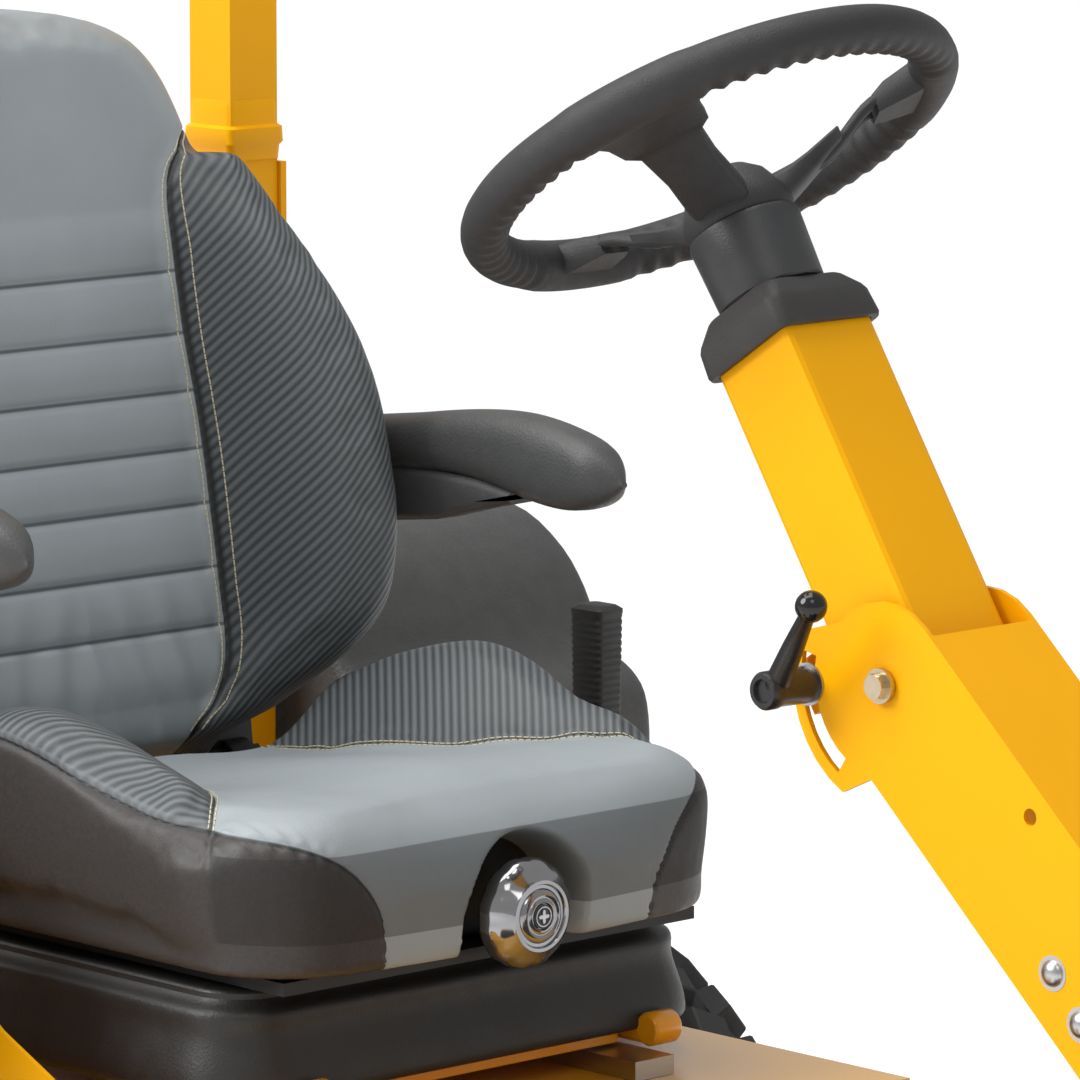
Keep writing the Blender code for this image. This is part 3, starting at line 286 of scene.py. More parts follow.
def finished(name, shape, look, body, replaces=(), smooth=40.0, rounding=0.0, levels=0):
    """Turns a bmesh into a piece of the object: smooth shading, rounded edges, finish and the body it moves
    with.
    """
    bmesh.ops.remove_doubles(shape, verts=shape.verts, dist=0.00002)
    bmesh.ops.recalc_face_normals(shape, faces=shape.faces)
    mesh = bpy.data.meshes.new(name)
    shape.to_mesh(mesh)
    shape.free()
    mesh.shade_smooth()
    mesh.set_sharp_from_angle(angle=math.radians(smooth))
    mesh.materials.append(look)
    made = linked(name, mesh)
    if rounding:
        edge = made.modifiers.new("rounded", "BEVEL")
        edge.width = rounding
        edge.segments = 2
        edge.limit_method = "ANGLE"
        edge.angle_limit = math.radians(35)
        edge.harden_normals = True
    if levels:
        soft = made.modifiers.new("soft", "SUBSURF")
        soft.levels = soft.render_levels = levels
    declare(made, body, replaces)
    return made


def declare(made, body, replaces=()):
    if body:
        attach(made, body)
    if replaces:
        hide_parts(*replaces)


def ring_wall(shape, rings, closed_path=False, caps=True):
    """Skins a list of point rings, and closes its two ends where asked."""
    made = [[shape.verts.new(point) for point in ring] for ring in rings]
    pairs = list(zip(made, made[1:]))
    if closed_path:
        pairs.append((made[-1], made[0]))
    for ring, following in pairs:
        count = len(ring)
        for i in range(count):
            j = (i + 1) % count
            shape.faces.new((ring[i], ring[j], following[j], following[i]))
    if caps and not closed_path:
        shape.faces.new(list(reversed(made[0])))
        shape.faces.new(made[-1])


def lathe(shape, profile, place, axis, sides=32):
    """Turns a profile of (radius, height) about an axis through a place."""
    axis = Vector(axis).normalized()
    side = axis.orthogonal().normalized()
    other = axis.cross(side)
    rings = []
    for radius, height in profile:
        middle = Vector(place) + axis * height
        rings.append([middle + (side * math.cos(a) + other * math.sin(a)) * max(radius, 0.00003)
                      for a in (math.tau * i / sides for i in range(sides))])
    if profile[0] == profile[-1]:
        ring_wall(shape, rings[:-1], closed_path=True)
    else:
        ring_wall(shape, rings)


def circle(radius, sides):
    return [(radius * math.cos(math.tau * i / sides), radius * math.sin(math.tau * i / sides))
            for i in range(sides)]


soft_grip = moulded("wheel_soft_plastic", (0.025, 0.025, 0.026), 0.62, 900.0, 0.5)
hub_plastic = moulded("hub_smooth_plastic", (0.040, 0.041, 0.043), 0.42, 600.0, 0.2)
TILT = Vector((0.403, 0.0, 0.999))
LEAN = math.radians(57)
UP = Vector((-math.cos(LEAN), 0, math.sin(LEAN)))
FRONT = Vector((math.sin(LEAN), 0, math.cos(LEAN)))
LEFT = Vector((0, 1, 0))
RIM_AT = 0.4125
RIM_RADIUS = 0.1695
SPOKE_TURNS = (-60.0, 60.0, 180.0)


def smooth_step(x, low, high):
    t = min(1.0, max(0.0, (x - low) / (high - low)))
    return t * t * (3 - 2 * t)


def outward_from_column(turn):
    """The direction out from the steering axis at a turn in degrees from the front, and the one across it."""
    out = FRONT * math.cos(math.radians(turn)) + LEFT * math.sin(math.radians(turn))
    return out, UP.cross(out)


wheel_shape = bmesh.new()
STEPS, SIDES, SCALLOPS = 396, 24, 66
rings = []
for i in range(STEPS):
    turn = 360.0 * i / STEPS
    apart = min(abs((turn - spoke + 180.0) % 360.0 - 180.0) for spoke in SPOKE_TURNS)
    fingers = smooth_step(apart, 13.0, 19.0) * (0.5 - 0.5 * math.cos(math.tau * SCALLOPS * i / STEPS)) ** 0.8
    out, across = outward_from_column(turn)
    ring = []
    for j in range(SIDES):
        a = math.tau * j / SIDES
        under = max(0.0, math.cos(a - math.radians(222))) ** 0.7
        dip = 1.0 - 0.17 * fingers * under + 0.05 * smooth_step(apart, 19.0, 13.0)
        ring.append(TILT + UP * (RIM_AT + 0.0176 * dip * math.sin(a))
                    + out * (RIM_RADIUS + 0.0170 * dip * math.cos(a)))
    rings.append(ring)
ring_wall(wheel_shape, rings, closed_path=True)


CORNER = 0.35


def spoke(shape, turn, stations):
    """Lofts a dished spoke through (radius, half width, height, thickness) stations."""
    out, across = outward_from_column(turn)
    rings = []
    for radius, half, height, thick in stations:
        middle = TILT + UP * (RIM_AT + height) + out * radius
        section = []
        for sx, sy in ((1, 1), (-1, 1), (-1, -1), (1, -1)):
            chamfer = [(1, 1 - CORNER), (1 - CORNER * 0.4, 1)]
            for fx, fy in (chamfer if sx * sy > 0 else reversed(chamfer)):
                section.append(middle + across * (sx * half * fx) + UP * (sy * thick * fy / 2))
        rings.append(section)
    ring_wall(shape, rings)


WIDE = [(0.168, 0.058, 0.0, 0.020), (0.152, 0.046, -0.003, 0.016), (0.128, 0.036, -0.006, 0.013),
        (0.106, 0.033, -0.010, 0.012), (0.101, 0.024, -0.013, 0.013), (0.070, 0.021, -0.028, 0.015),
        (0.040, 0.022, -0.044, 0.018), (0.020, 0.020, -0.050, 0.022)]
NARROW = [(0.168, 0.032, 0.0, 0.024), (0.150, 0.023, -0.003, 0.022), (0.132, 0.018, -0.006, 0.019),
          (0.122, 0.013, -0.009, 0.014)]
ROOT = [(0.088, 0.017, -0.022, 0.010), (0.060, 0.019, -0.036, 0.014), (0.036, 0.024, -0.047, 0.018),
        (0.020, 0.022, -0.050, 0.022)]
for turn in SPOKE_TURNS:
    if turn == -60.0:
        spoke(wheel_shape, turn, WIDE)
        continue
    spoke(wheel_shape, turn, NARROW)
    spoke(wheel_shape, turn, ROOT)
    out, across = outward_from_column(turn)
    for side in (-1, 1):
        rod = []
        for k in range(9):
            radius = 0.128 - 0.062 * k / 8
            height = RIM_AT - 0.006 - 0.028 * smooth_step(k / 8, 0.0, 1.0)
            place = TILT + UP * height + out * radius + across * side * (0.0095 - 0.0008 * k)
            rod.append([place + across * x + UP * y for x, y in circle(0.0048, 12)])
        ring_wall(wheel_shape, rod)
lathe(wheel_shape, [(0, 0.351), (0.0385, 0.351), (0.0405, 0.356), (0.0395, 0.366), (0.030, 0.384),
                    (0.020, 0.392), (0.008, 0.395), (0, 0.395)], TILT, UP, 40)
finished("wheel_rim_and_spokes", wheel_shape, soft_grip, "steering", ("steering_wheel",),
         50.0)

cover_shape = bmesh.new()
lathe(cover_shape, [(0.0110, 0.2950), (0.0375, 0.2950), (0.0390, 0.2965), (0.0412, 0.3470), (0.0402, 0.3500),
                    (0.0110, 0.3500)], TILT, UP, 48)
finished("wheel_hub_cover", cover_shape, hub_plastic, "steering", ("steering_boot",))


# ---------------------------------------------------------------- column: collar, clamp lever, bolts
# The telescoping boxes are folded and welded sheet. A moulded collar closes the upper box, a black
# clamp lever with a ball end locks the tilt through a curved slot, and zinc-plated bolts hold the rest.
def rounded_box(half_x, half_y, radius, steps=4):
    points = []
    for quarter, (sx, sy) in enumerate(((1, 1), (-1, 1), (-1, -1), (1, -1))):
        for k in range(steps + 1):
            a = math.radians(90 * quarter + 90 * k / steps)
            points.append((sx * (half_x - radius) + radius * math.cos(a),
                           sy * (half_y - radius) + radius * math.sin(a)))
    return points


collar_plastic = moulded("collar_plastic", (0.036, 0.034, 0.033), 0.55, 800.0, 0.4)
collar_shape = bmesh.new()
collar_path = [(0.2575, 0.0393, 0.0433, 0.0052), (0.2549, 0.0402, 0.0442, 0.006),
               (0.2549, 0.0450, 0.0490, 0.009),
               (0.2575, 0.0462, 0.0502, 0.010), (0.2760, 0.0452, 0.0492, 0.010),
               (0.2800, 0.0438, 0.0478, 0.010),
               (0.2920, 0.0372, 0.0412, 0.012), (0.2940, 0.0352, 0.0392, 0.012),
               (0.2940, 0.0130, 0.0130, 0.0129),
               (0.2860, 0.0128, 0.0128, 0.0127), (0.2850, 0.0393, 0.0433, 0.0052)]
collar_rings = [[TILT + UP * height + FRONT * x + LEFT * y for x, y in rounded_box(hx, hy, radius)]
                for height, hx, hy, radius in collar_path]
ring_wall(collar_shape, collar_rings, closed_path=True)
finished("column_collar_cover", collar_shape, collar_plastic, "steering_tilt",
         ("column_collar",))

zinc_plate = speckled("yellow_zinc", (0.62, 0.52, 0.36), 0.28, 1.0, (0.18, 120.0, 3.0))
bright_steel = speckled("bright_steel", (0.52, 0.52, 0.53), 0.3, 1.0, (0.12, 30.0, 3.0, (1.0, 1.0, 12.0)))
dress(zinc_plate, "tilt_pivot_bolt", "rops_pivot_bolt_left", "rops_pivot_bolt_right")
dress(bright_steel, "steering_shaft", "seat_rails", "blade_left", "blade_centre", "blade_right")

ball_gloss = speckled("black_phenolic", (0.010, 0.010, 0.011), 0.12, 0.0, (0.2, 90.0))
lever_black = moulded("lever_cast_black", (0.016, 0.016, 0.017), 0.34, 500.0, 0.25)
clamp = TILT + UP * 0.0325 - FRONT * 0.0647
cheek = -0.0531
lever_shape = bmesh.new()
lathe(lever_shape, [(0, cheek), (0.0125, cheek), (0.0130, cheek - 0.003), (0.0125, cheek - 0.030),
                    (0.0135, cheek - 0.034), (0.0135, cheek - 0.042), (0.0118, cheek - 0.0445),
                    (0.0085, cheek - 0.0445),
                    (0.0075, cheek - 0.0415), (0, cheek - 0.0415)], clamp, LEFT, 32)
ball = Vector((0.381, cheek - 0.0475, 1.056))
root = clamp + LEFT * (cheek - 0.032)
arm = ball - root
lathe(lever_shape, [(0, -0.004), (0.0085, 0.0), (0.0092, 0.006), (0.0078, arm.length * 0.5),
                    (0.0056, arm.length - 0.010), (0.0070, arm.length - 0.008), (0.0070, arm.length - 0.004),
                    (0, arm.length - 0.004)], root, arm, 24)
lathe(lever_shape, [(0, 0.046), (0.0049, 0.046), (0.0049, -0.0715), (0, -0.0715)], clamp, LEFT, 16)
finished("clamp_lever", lever_shape, lever_black, "tilt_lever", ("tilt_lock_lever",))
ball_shape = bmesh.new()
lathe(ball_shape, [(0.0112 * math.cos(math.radians(a)), 0.0112 * math.sin(math.radians(a)))
                   for a in range(-90, 91, 10)], ball, arm, 32)
finished("clamp_lever_ball", ball_shape, ball_gloss, "tilt_lever")
washer_shape = bmesh.new()
lathe(washer_shape, [(0.0056, cheek + 0.0004), (0.0150, cheek + 0.0004), (0.0150, cheek - 0.0012),
                     (0.0056, cheek - 0.0012), (0.0056, cheek + 0.0004)], clamp, LEFT, 32)
finished("clamp_washer", washer_shape, bright_steel, "tilt_lever")


class Scatter:
    """Geometry nodes that set one shape on every point of a mesh, sized by named inputs."""

    def __init__(self, name, sizes):
        self.tree = bpy.data.node_groups.new(name, "GeometryNodeTree")
        self.sizes = sizes
        self.tree.interface.new_socket("Geometry", in_out="INPUT", socket_type="NodeSocketGeometry")
        for key, value in sizes.items():
            socket = self.tree.interface.new_socket(key, in_out="INPUT", socket_type="NodeSocketFloat")
            socket.default_value = value
        self.tree.interface.new_socket("Geometry", in_out="OUTPUT", socket_type="NodeSocketGeometry")
        self.inputs = self.node("NodeGroupInput", {}, {}).node.outputs

    def node(self, kind, settings, values):
        """The first output of a new node, with its settings and its sockets' values or links."""
        made = self.tree.nodes.new(kind)
        for key, setting in settings.items():
            setattr(made, key, setting)
        for key, value in values.items():
            if isinstance(value, bpy.types.NodeSocket):
                self.tree.links.new(value, made.inputs[key])
            else:
                made.inputs[key].default_value = value
        return made.outputs[0] if made.outputs else made

    def direction(self, key):
        return self.node("GeometryNodeInputNamedAttribute", {"data_type": "FLOAT_VECTOR"}, {"Name": key})

    def aligned(self):
        """A turn that points the shape along the point's own direction."""
        return self.node("FunctionNodeAlignRotationToVector", {"axis": "Z"},
                         {"Vector": self.direction("facing")})

    def run(self, name, places, directions, shape, turn, look, wear=0.0):
        """Puts the shape on every place and returns the result as a plain piece."""
        placed_shapes = self.node("GeometryNodeInstanceOnPoints", {},
                                  {"Points": self.inputs["Geometry"], "Instance": shape, "Rotation": turn})
        real = self.node("GeometryNodeRealizeInstances", {}, {0: placed_shapes})
        self.node("NodeGroupOutput", {},
                  {0: self.node("GeometryNodeSetMaterial", {}, {0: real, "Material": look})})
        mesh = bpy.data.meshes.new(name)
        mesh.from_pydata([tuple(place) for place in places], [], [])
        for key, vectors in directions.items():
            attribute = mesh.attributes.new(key, "FLOAT_VECTOR", "POINT")
            for item, vector in zip(attribute.data, vectors):
                item.vector = vector
        holder = linked(name, mesh)
        step = holder.modifiers.new("scatter", "NODES")
        step.node_group = self.tree
        for item in self.tree.interface.items_tree:
            if item.in_out == "INPUT" and item.name in self.sizes:
                step[item.identifier] = self.sizes[item.name]
        if wear:
            worn = holder.modifiers.new("worn", "BEVEL")
            worn.width, worn.segments = wear, 1
        fine = applied(holder)
        bpy.data.objects.remove(holder, do_unlink=True)
        fine.name = name
        if not fine.materials:
            fine.materials.append(look)
        return linked(name, fine)


def applied(holder):
    """The object's evaluated mesh, as a plain mesh."""
    bpy.context.view_layer.update()
    return bpy.data.meshes.new_from_object(holder.evaluated_get(bpy.context.evaluated_depsgraph_get()))


def bolts(name, places, facing, radius, height, head, look, body):
    """Domed or hexagonal bolt heads on washers, all on one body and facing one way."""
    nodes_of = Scatter(name + "_nodes", {"Head Radius": radius, "Head Height": height})
    head_radius, head_height = nodes_of.inputs["Head Radius"], nodes_of.inputs["Head Height"]

    def times(socket, factor):
        return nodes_of.node("ShaderNodeMath", {"operation": "MULTIPLY"}, {0: socket, 1: factor})

    washer = nodes_of.node("GeometryNodeMeshCylinder", {}, {
        "Vertices": 20, "Radius": times(head_radius, 1.3), "Depth": times(head_height, 0.5)})
    join = nodes_of.node("GeometryNodeJoinGeometry", {}, {0: washer})
    if head == "dome":
        dome = nodes_of.node("GeometryNodeMeshUVSphere", {},
                             {"Segments": 20, "Rings": 10, "Radius": head_radius})
        top = nodes_of.node("GeometryNodeTransform", {}, {"Geometry": dome, "Scale": (1.0, 1.0, 0.62)})
    else:
        top = nodes_of.node("GeometryNodeMeshCylinder", {}, {
            "Vertices": 6, "Radius": head_radius, "Depth": times(head_height, 2.0)})
    nodes_of.tree.links.new(top, join.node.inputs[0])
    made = nodes_of.run(name, places, {"facing": [facing] * len(places)}, join, nodes_of.aligned(), look)
    made.data.shade_smooth()
    made.data.set_sharp_from_angle(angle=math.radians(35))
    declare(made, body)


COLUMN_BOLTS = [(0.562, 0.824), (0.588, 0.793)]
(_, right_cheek, _), (_, left_cheek, _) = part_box("column_lower")
for side, y, facing in (("right", right_cheek, (0, -1, 0)), ("left", left_cheek, (0, 1, 0))):
    bolts("column_bolts_" + side, [(x, y - 0.0004 * facing[1], z) for x, z in COLUMN_BOLTS], facing,
          0.0095, 0.003, "dome", bright_steel, "chassis")
    bolts("tilt_pivot_nut_" + side, [(TILT.x, y + 0.004 * facing[1], TILT.z)], facing, 0.0095, 0.0055, "hex",
          zinc_plate, "chassis")

# ---------------------------------------------------------------- seat cushion
# Moulded foam under a sewn cover: a smooth grey centre, ribbed dark bolsters and grained black-brown sides
# that wrap the front corners. Cream double stitching follows the seams; the front is cut away for the knob.
CUSHION_LOW, CUSHION_REAR, CUSHION_HALF = 0.746, -0.466, 0.243
KNOB = Vector((-0.026, 0.0, 0.772))


def seam_side(x):
    """Half width of the grey centre panel at a distance along the cushion."""
    t = min(1.0, max(0.0, (x + 0.36) / 0.275))
    return 0.118 + 0.125 * t ** 2.6


def crown(x, y):
    """Height of the cushion's top: a dished centre between two bolsters that fade out at the front."""
    centre = 0.822 + 0.040 * smooth_step(x, -0.46, -0.06) - 0.006 * smooth_step(abs(y), 0.0, 0.10)
    bump = math.exp(-((x + 0.315) / (0.125 if x > -0.315 else 0.19)) ** 2)
    bolster = 0.010 + 0.070 * bump
    rise = smooth_step(abs(y), seam_side(x) - 0.004, max(0.212, seam_side(x) + 0.03))
    hollow = -0.010 * math.exp(-((y / 0.075) ** 2)) * smooth_step(x, -0.12, -0.02)
    return centre + 0.004 + bolster * rise + hollow


def cushion_plan(angle):
    """The plan's edge seen from its middle: rounded front corners and a slightly bowed front."""
    middle = Vector((-0.23, 0.0))
    ray = Vector((math.cos(angle), math.sin(angle)))
    near, far = 0.0, 0.5
    for _ in range(30):
        test = (near + far) / 2
        x, y = middle + ray * test
        front = -0.004 - 0.35 * y * y
        dx, dy = x - (front - 0.075), abs(y) - (CUSHION_HALF - 0.075)
        if x < -0.23:
            dx, dy = (CUSHION_REAR + 0.05) - x, abs(y) - (CUSHION_HALF - 0.05)
            gap = math.hypot(max(dx, 0), max(dy, 0)) - 0.05
        else:
            gap = math.hypot(max(dx, 0), max(dy, 0)) - 0.075
        near, far = (test, far) if gap < 0 else (near, test)
    return middle, ray, near


def upholstered(name, shape, voxel, cap, pressure, hold):
    """Remeshes a foam form finely, lets its cover swell like stuffed cloth, and subdivides the result.

    hold(point) says how much of the swelling a point may keep.
    """
    mesh = bpy.data.meshes.new(name)
    bmesh.ops.recalc_face_normals(shape, faces=shape.faces)
    shape.to_mesh(mesh)
    shape.free()
    holder = linked(name, mesh)
    remesh = holder.modifiers.new("even_mesh", "REMESH")
    remesh.mode = "VOXEL"
    remesh.voxel_size = voxel
    even = applied(holder)
    holder.modifiers.clear()
    holder.data = even
    before = [vertex.co.copy() for vertex in even.vertices]
    cloth = holder.modifiers.new("cover", "CLOTH")
    cloth.settings.use_pressure = True
    cloth.settings.uniform_pressure_force = pressure
    cloth.settings.quality = 4
    cloth.settings.tension_stiffness = 30
    cloth.settings.compression_stiffness = 30
    cloth.settings.bending_stiffness = 1.5
    cloth.settings.effector_weights.gravity = 0.0
    for frame_number in range(1, 21):
        bpy.context.scene.frame_set(frame_number)
    swollen = applied(holder)
    holder.modifiers.clear()
    bpy.context.scene.frame_set(1)
    for vertex, was, now in zip(even.vertices, before, swollen.vertices):
        move = now.co - was
        room = cap * hold(was)
        vertex.co = was + (move * (room / move.length) if move.length > room else move)
    soft = holder.modifiers.new("soft", "SUBSURF")
    soft.levels = soft.render_levels = 1
    smooth = holder.modifiers.new("even", "SMOOTH")
    smooth.factor = 0.5
    smooth.iterations = 3
    fine = applied(holder)
    bpy.data.objects.remove(holder, do_unlink=True)
    return fine


def placed(name, mesh, look, body, slot, *replaced):
    """Puts a finished mesh into the scene as a piece."""
    mesh.materials.clear()
    mesh.materials.append(look)
    mesh.shade_smooth()
    made = linked(name, mesh)
    declare(made, body, replaced)
    return made


cushion_cage = bmesh.new()
TURNS = 120
UNDERCUT = 0.007
levels = [("top", f) for f in (0.03, 0.12, 0.25, 0.4, 0.55, 0.68, 0.78, 0.87)]
levels += [("edge", a) for a in range(0, 91, 6)]
levels += [("side", 0.1 * k) for k in range(1, 10)]
levels += [("foot", a) for a in range(0, 91, 18)]
levels += [("base", f) for f in (0.6, 0.2)]
rings = []
for kind, value in levels:
    ring = []
    for i in range(TURNS):
        middle, ray, reach = cushion_plan(math.tau * i / TURNS)
        edge_round = 0.026 + 0.036 * max(0.0, math.cos(math.tau * i / TURNS)) ** 3
        inner = reach - edge_round
        if kind == "top":
            x, y = middle + ray * (inner * value / 0.87)
            z = crown(x, y)
        elif kind == "edge":
            x, y = middle + ray * (inner + edge_round * math.sin(math.radians(value)))
            z = crown(*(middle + ray * inner)) - edge_round * (1 - math.cos(math.radians(value)))
        elif kind == "side":
            high = crown(*(middle + ray * inner)) - edge_round
            x, y = middle + ray * (reach - UNDERCUT * value ** 1.6)
            z = high + (CUSHION_LOW + 0.007 - high) * value
        elif kind == "foot":
            x, y = middle + ray * (reach - UNDERCUT - 0.007 + 0.007 * math.cos(math.radians(value)))
            z = CUSHION_LOW + 0.007 - 0.007 * math.sin(math.radians(value))
        else:
            x, y = middle + ray * ((reach - UNDERCUT - 0.007) * value)
            z = CUSHION_LOW
        ring.append(Vector((x, y, z)))
    rings.append(ring)
ring_wall(cushion_cage, rings)


def cushion_hold(point):
    return smooth_step(point.z, CUSHION_LOW,
                       CUSHION_LOW + 0.03) * (0.25 + 0.75 * smooth_step(-point.x, 0.0, 0.10))


cushion_mesh = upholstered("seat_cushion_cover", cushion_cage, 0.0055, 0.006, 3.0, cushion_hold)


def side_seam(x, y):
    """Height of the seam between the side panels and the top; it drops where the panels wrap the front."""
    edge = 0.848 + 0.044 * math.exp(-((x + 0.33) / 0.13) ** 2)
    wrap = min(1.0, max(0.0, (CUSHION_HALF - abs(y)) / 0.112))
    return 0.742 + (edge - 0.742) * (1.0 - wrap ** 2.2) ** 0.4545


for vertex in cushion_mesh.vertices:
    x, y, z = vertex.co
    along = abs(abs(y) - seam_side(x))
    if z > 0.80 and -0.44 < x < -0.075:
        vertex.co.z -= 0.0030 * math.exp(-(along / 0.0035) ** 2)
    off_seam = abs(z - side_seam(x, y))
    if x > -0.40 and abs(y) > 0.13:
        inward = Vector((-1.0 if x > -0.06 else 0.0, -math.copysign(1.0, y) if abs(y) > 0.19 else 0.0, 0))
        if inward.length > 0:
            vertex.co += inward.normalized() * 0.0022 * math.exp(-(off_seam / 0.003) ** 2)
    if y < 0 and x > -0.09 and z > 0.80:
        vertex.co.z += 0.0012 * math.sin(abs(y) * 620) * math.exp(-((off_seam - 0.004) / 0.006) ** 2)
    reach = math.hypot(y, z - KNOB.z)
    into = 0.053 - reach if z > KNOB.z else 0.053 - abs(y)
    if x > -0.075 and into > -0.012 and z < 0.84:
        deep = smooth_step(into, -0.010, 0.006)
        vertex.co.x -= deep * 0.052 * smooth_step(x, -0.075, -0.02)


class Cover(Look):
    """Vinyl with a fine leather grain; panels and ribs are laid over it by place."""

    def grain(self, depth=1.0):
        return self.pebble(620.0) * (0.5 * depth) + self.speckle(260.0, 3.0) * (0.5 * depth)


def ribs(across, pitch):
    """Fine round ribs, 0 in a groove and 1 on a crest."""
    return (across * (math.tau / pitch)).sine() * 0.5 + 0.5


GREY = (0.310, 0.345, 0.362)
# The lighter rib colour is a painted highlight on the rib crests, over the dark vinyl colour of the grooves.
RIB_DARK, RIB_CREST_HIGHLIGHT = (0.040, 0.046, 0.050), (0.150, 0.165, 0.172)
cushion_look = Cover("cushion_cover", GREY, 0.5)
px, py, pz = cushion_look.axes()
half = py.size()
along = ((px + 0.36) / 0.275).maths("ADD", 0.0, clamp=True)
seam_line = along.maths("POWER", 2.6) * 0.125 + 0.118
bolster = (half - seam_line).ramp(-0.0004, 0.0004) * (1.0 - (px + 0.075).ramp(0.0, 0.001))
edge_bump = ((px + 0.33) / 0.13)
edge_line = (-(edge_bump * edge_bump)).maths("EXPONENT") * 0.044 + 0.848
wrap = ((0.243 - half) / 0.112).maths("ADD", 0.0, clamp=True).maths("POWER", 2.2)
edge_line = (edge_line - 0.742) * (1.0 - wrap).maths("POWER", 0.4545) + 0.742
panel = (edge_line - pz).ramp(-0.0005, 0.0005)
knob_z = pz - KNOB.z
round_in = 0.0505 - (half * half + knob_z * knob_z).maths("SQRT")
recess = (round_in.maths("MAXIMUM", (0.0505 - half) * (1.0 - knob_z.ramp(-0.001, 0.0)))).ramp(-0.0005, 0.0005)
recess = recess * (px + 0.09).ramp(0.0, 0.01) * (1.0 - (pz - 0.835).ramp(0.0, 0.001))
rib_field = ribs(px * 0.66 + half * 0.75, 0.0062)
# Rib crests painted lighter as a highlight over the dark grooves.
rib_colour = cushion_look.blend(rib_field * 0.85, RIB_DARK, RIB_CREST_HIGHLIGHT)
# A lighter line on the bolster's rolled edge just above the side seam: a painted highlight along the piping.
piping_highlight = (1.0 - ((edge_line + 0.004 - pz).size()).ramp(0.002, 0.0042)) * bolster
grey = cushion_look.blend(cushion_look.speckle(14.0, 4.0), tuple(c * 0.90 for c in GREY),
                          tuple(c * 1.08 for c in GREY))
colour = cushion_look.blend(bolster, grey, rib_colour)
colour = cushion_look.blend(piping_highlight * 0.6, colour, (0.16, 0.175, 0.185))
side = cushion_look.blend(cushion_look.speckle(320.0, 3.0), (0.022, 0.019, 0.018), (0.052, 0.045, 0.041))
colour = cushion_look.blend(panel, colour, side)
# A near-black line along the side seam: painted shade in the seam's groove.
seam_gap_shade = 1.0 - (edge_line - pz).size().ramp(0.0006, 0.0022)
colour = cushion_look.blend(seam_gap_shade * 0.9, colour, (0.008, 0.008, 0.008))
# A dark line along the seams between the grey centre and the bolsters: painted shade in the seam groove.
top_gap_shade = (1.0 - (half - seam_line).size().ramp(0.0005, 0.0014)) * (1.0 - (px + 0.075).ramp(0.0, 0.001))
top_gap_shade = top_gap_shade * (1.0 - panel)
colour = cushion_look.blend(top_gap_shade * 0.85, colour, (0.02, 0.018, 0.016))
# The knob's cut-away in the cushion front is coloured near-black: painted shade in the recess.
colour = cushion_look.blend(recess, colour, (0.006, 0.006, 0.006))
cushion_look.put("Base Color", colour)
cushion_look.put("Roughness", cushion_look.speckle(70.0) * 0.14 + 0.40 + bolster * 0.06 + recess * 0.3)
height = cushion_look.grain(0.35) + rib_field * bolster * (1.0 - panel) * 1.1
cushion_look.bump(height, 0.55, 0.0008)
cushion = placed("seat_cushion_cover", cushion_mesh, cushion_look.made, "seat", "seat_vinyl", "seat_cushion")


cream_thread = speckled("cream_thread", (0.62, 0.56, 0.40), 0.7, 0.0, (0.15, 900.0))


def stitches(name, lines, body, pitch=0.0055):
    """Evenly spaced threads along each line of points."""
    places, directions = [], []
    for line in lines:
        travelled, wanted = 0.0, pitch / 2
        for here, there in zip(line, line[1:]):
            step = (there - here).length
            while wanted < travelled + step:
                places.append(here.lerp(there, (wanted - travelled) / step))
                directions.append((there - here).normalized())
                wanted += pitch
            travelled += step
    nodes_of = Scatter(name + "_nodes", {"Thread Radius": 0.0006, "Stitch Length": 0.0042})
    thread = nodes_of.node("GeometryNodeMeshCylinder", {}, {
        "Vertices": 6, "Side Segments": 2, "Radius": nodes_of.inputs["Thread Radius"],
        "Depth": nodes_of.inputs["Stitch Length"]})
    made = nodes_of.run(name, places, {"facing": directions}, thread, nodes_of.aligned(), cream_thread)
    declare(made, body)


def on_surface(target, places, direction, lift=0.0004):
    """Drops points on to a piece along a direction."""
    found = []
    for place in places:
        hit, point, normal, _ = target.ray_cast(place, direction)
        if hit:
            found.append(point + normal * lift)
    return found


bpy.context.view_layer.update()
seam_stations = [-0.44 + 0.365 * i / 90 for i in range(91)]
cushion_lines = []
for side_sign in (1, -1):
    for offset in (-0.0032, 0.0032):
        row = [Vector((x, side_sign * (seam_side(x) + offset), 1.0)) for x in seam_stations
               if seam_side(x) + offset < 0.226]
        cushion_lines.append(on_surface(cushion, row, Vector((0, 0, -1))))
stitches("cushion_stitching", cushion_lines, "seat")


# ---------------------------------------------------------------- backrest
# A tall foam back: a smooth headrest, a centre panel sewn into horizontal channels, and deep ribbed wings
# that roll into plain dark edges. Cream double stitching and a piped gap, darkened with painted shade, part
# the two.
BACK_FOOT = Vector((-0.4985, 0.0, 0.826))
TIP = math.radians(13.7)
UP_BACK = Vector((-math.sin(TIP), 0, math.cos(TIP)))
OUT_BACK = Vector((math.cos(TIP), 0, math.sin(TIP)))
CHANNELS = (0.369, 0.319, 0.273, 0.227, 0.183, 0.132, 0.086)


def curve_through(points):
    """A smooth function through (input, output) points."""
    def value(x):
        if x <= points[0][0]:
            return points[0][1]
        for i in range(len(points) - 1):
            (x0, y0), (x1, y1) = points[i], points[i + 1]
            if x <= x1:
                before = points[i - 1] if i else (x0, y0)
                after = points[i + 2] if i + 2 < len(points) else (x1, y1)
                m0 = (y1 - before[1]) / max(1e-6, x1 - before[0])
                m1 = (after[1] - y0) / max(1e-6, after[0] - x0)
                h = x1 - x0
                t = (x - x0) / h
                return ((2 * t ** 3 - 3 * t * t + 1) * y0 + (t ** 3 - 2 * t * t + t) * h * m0
                        + (3 * t * t - 2 * t ** 3) * y1 + (t ** 3 - t * t) * h * m1)
        return points[-1][1]
    return value


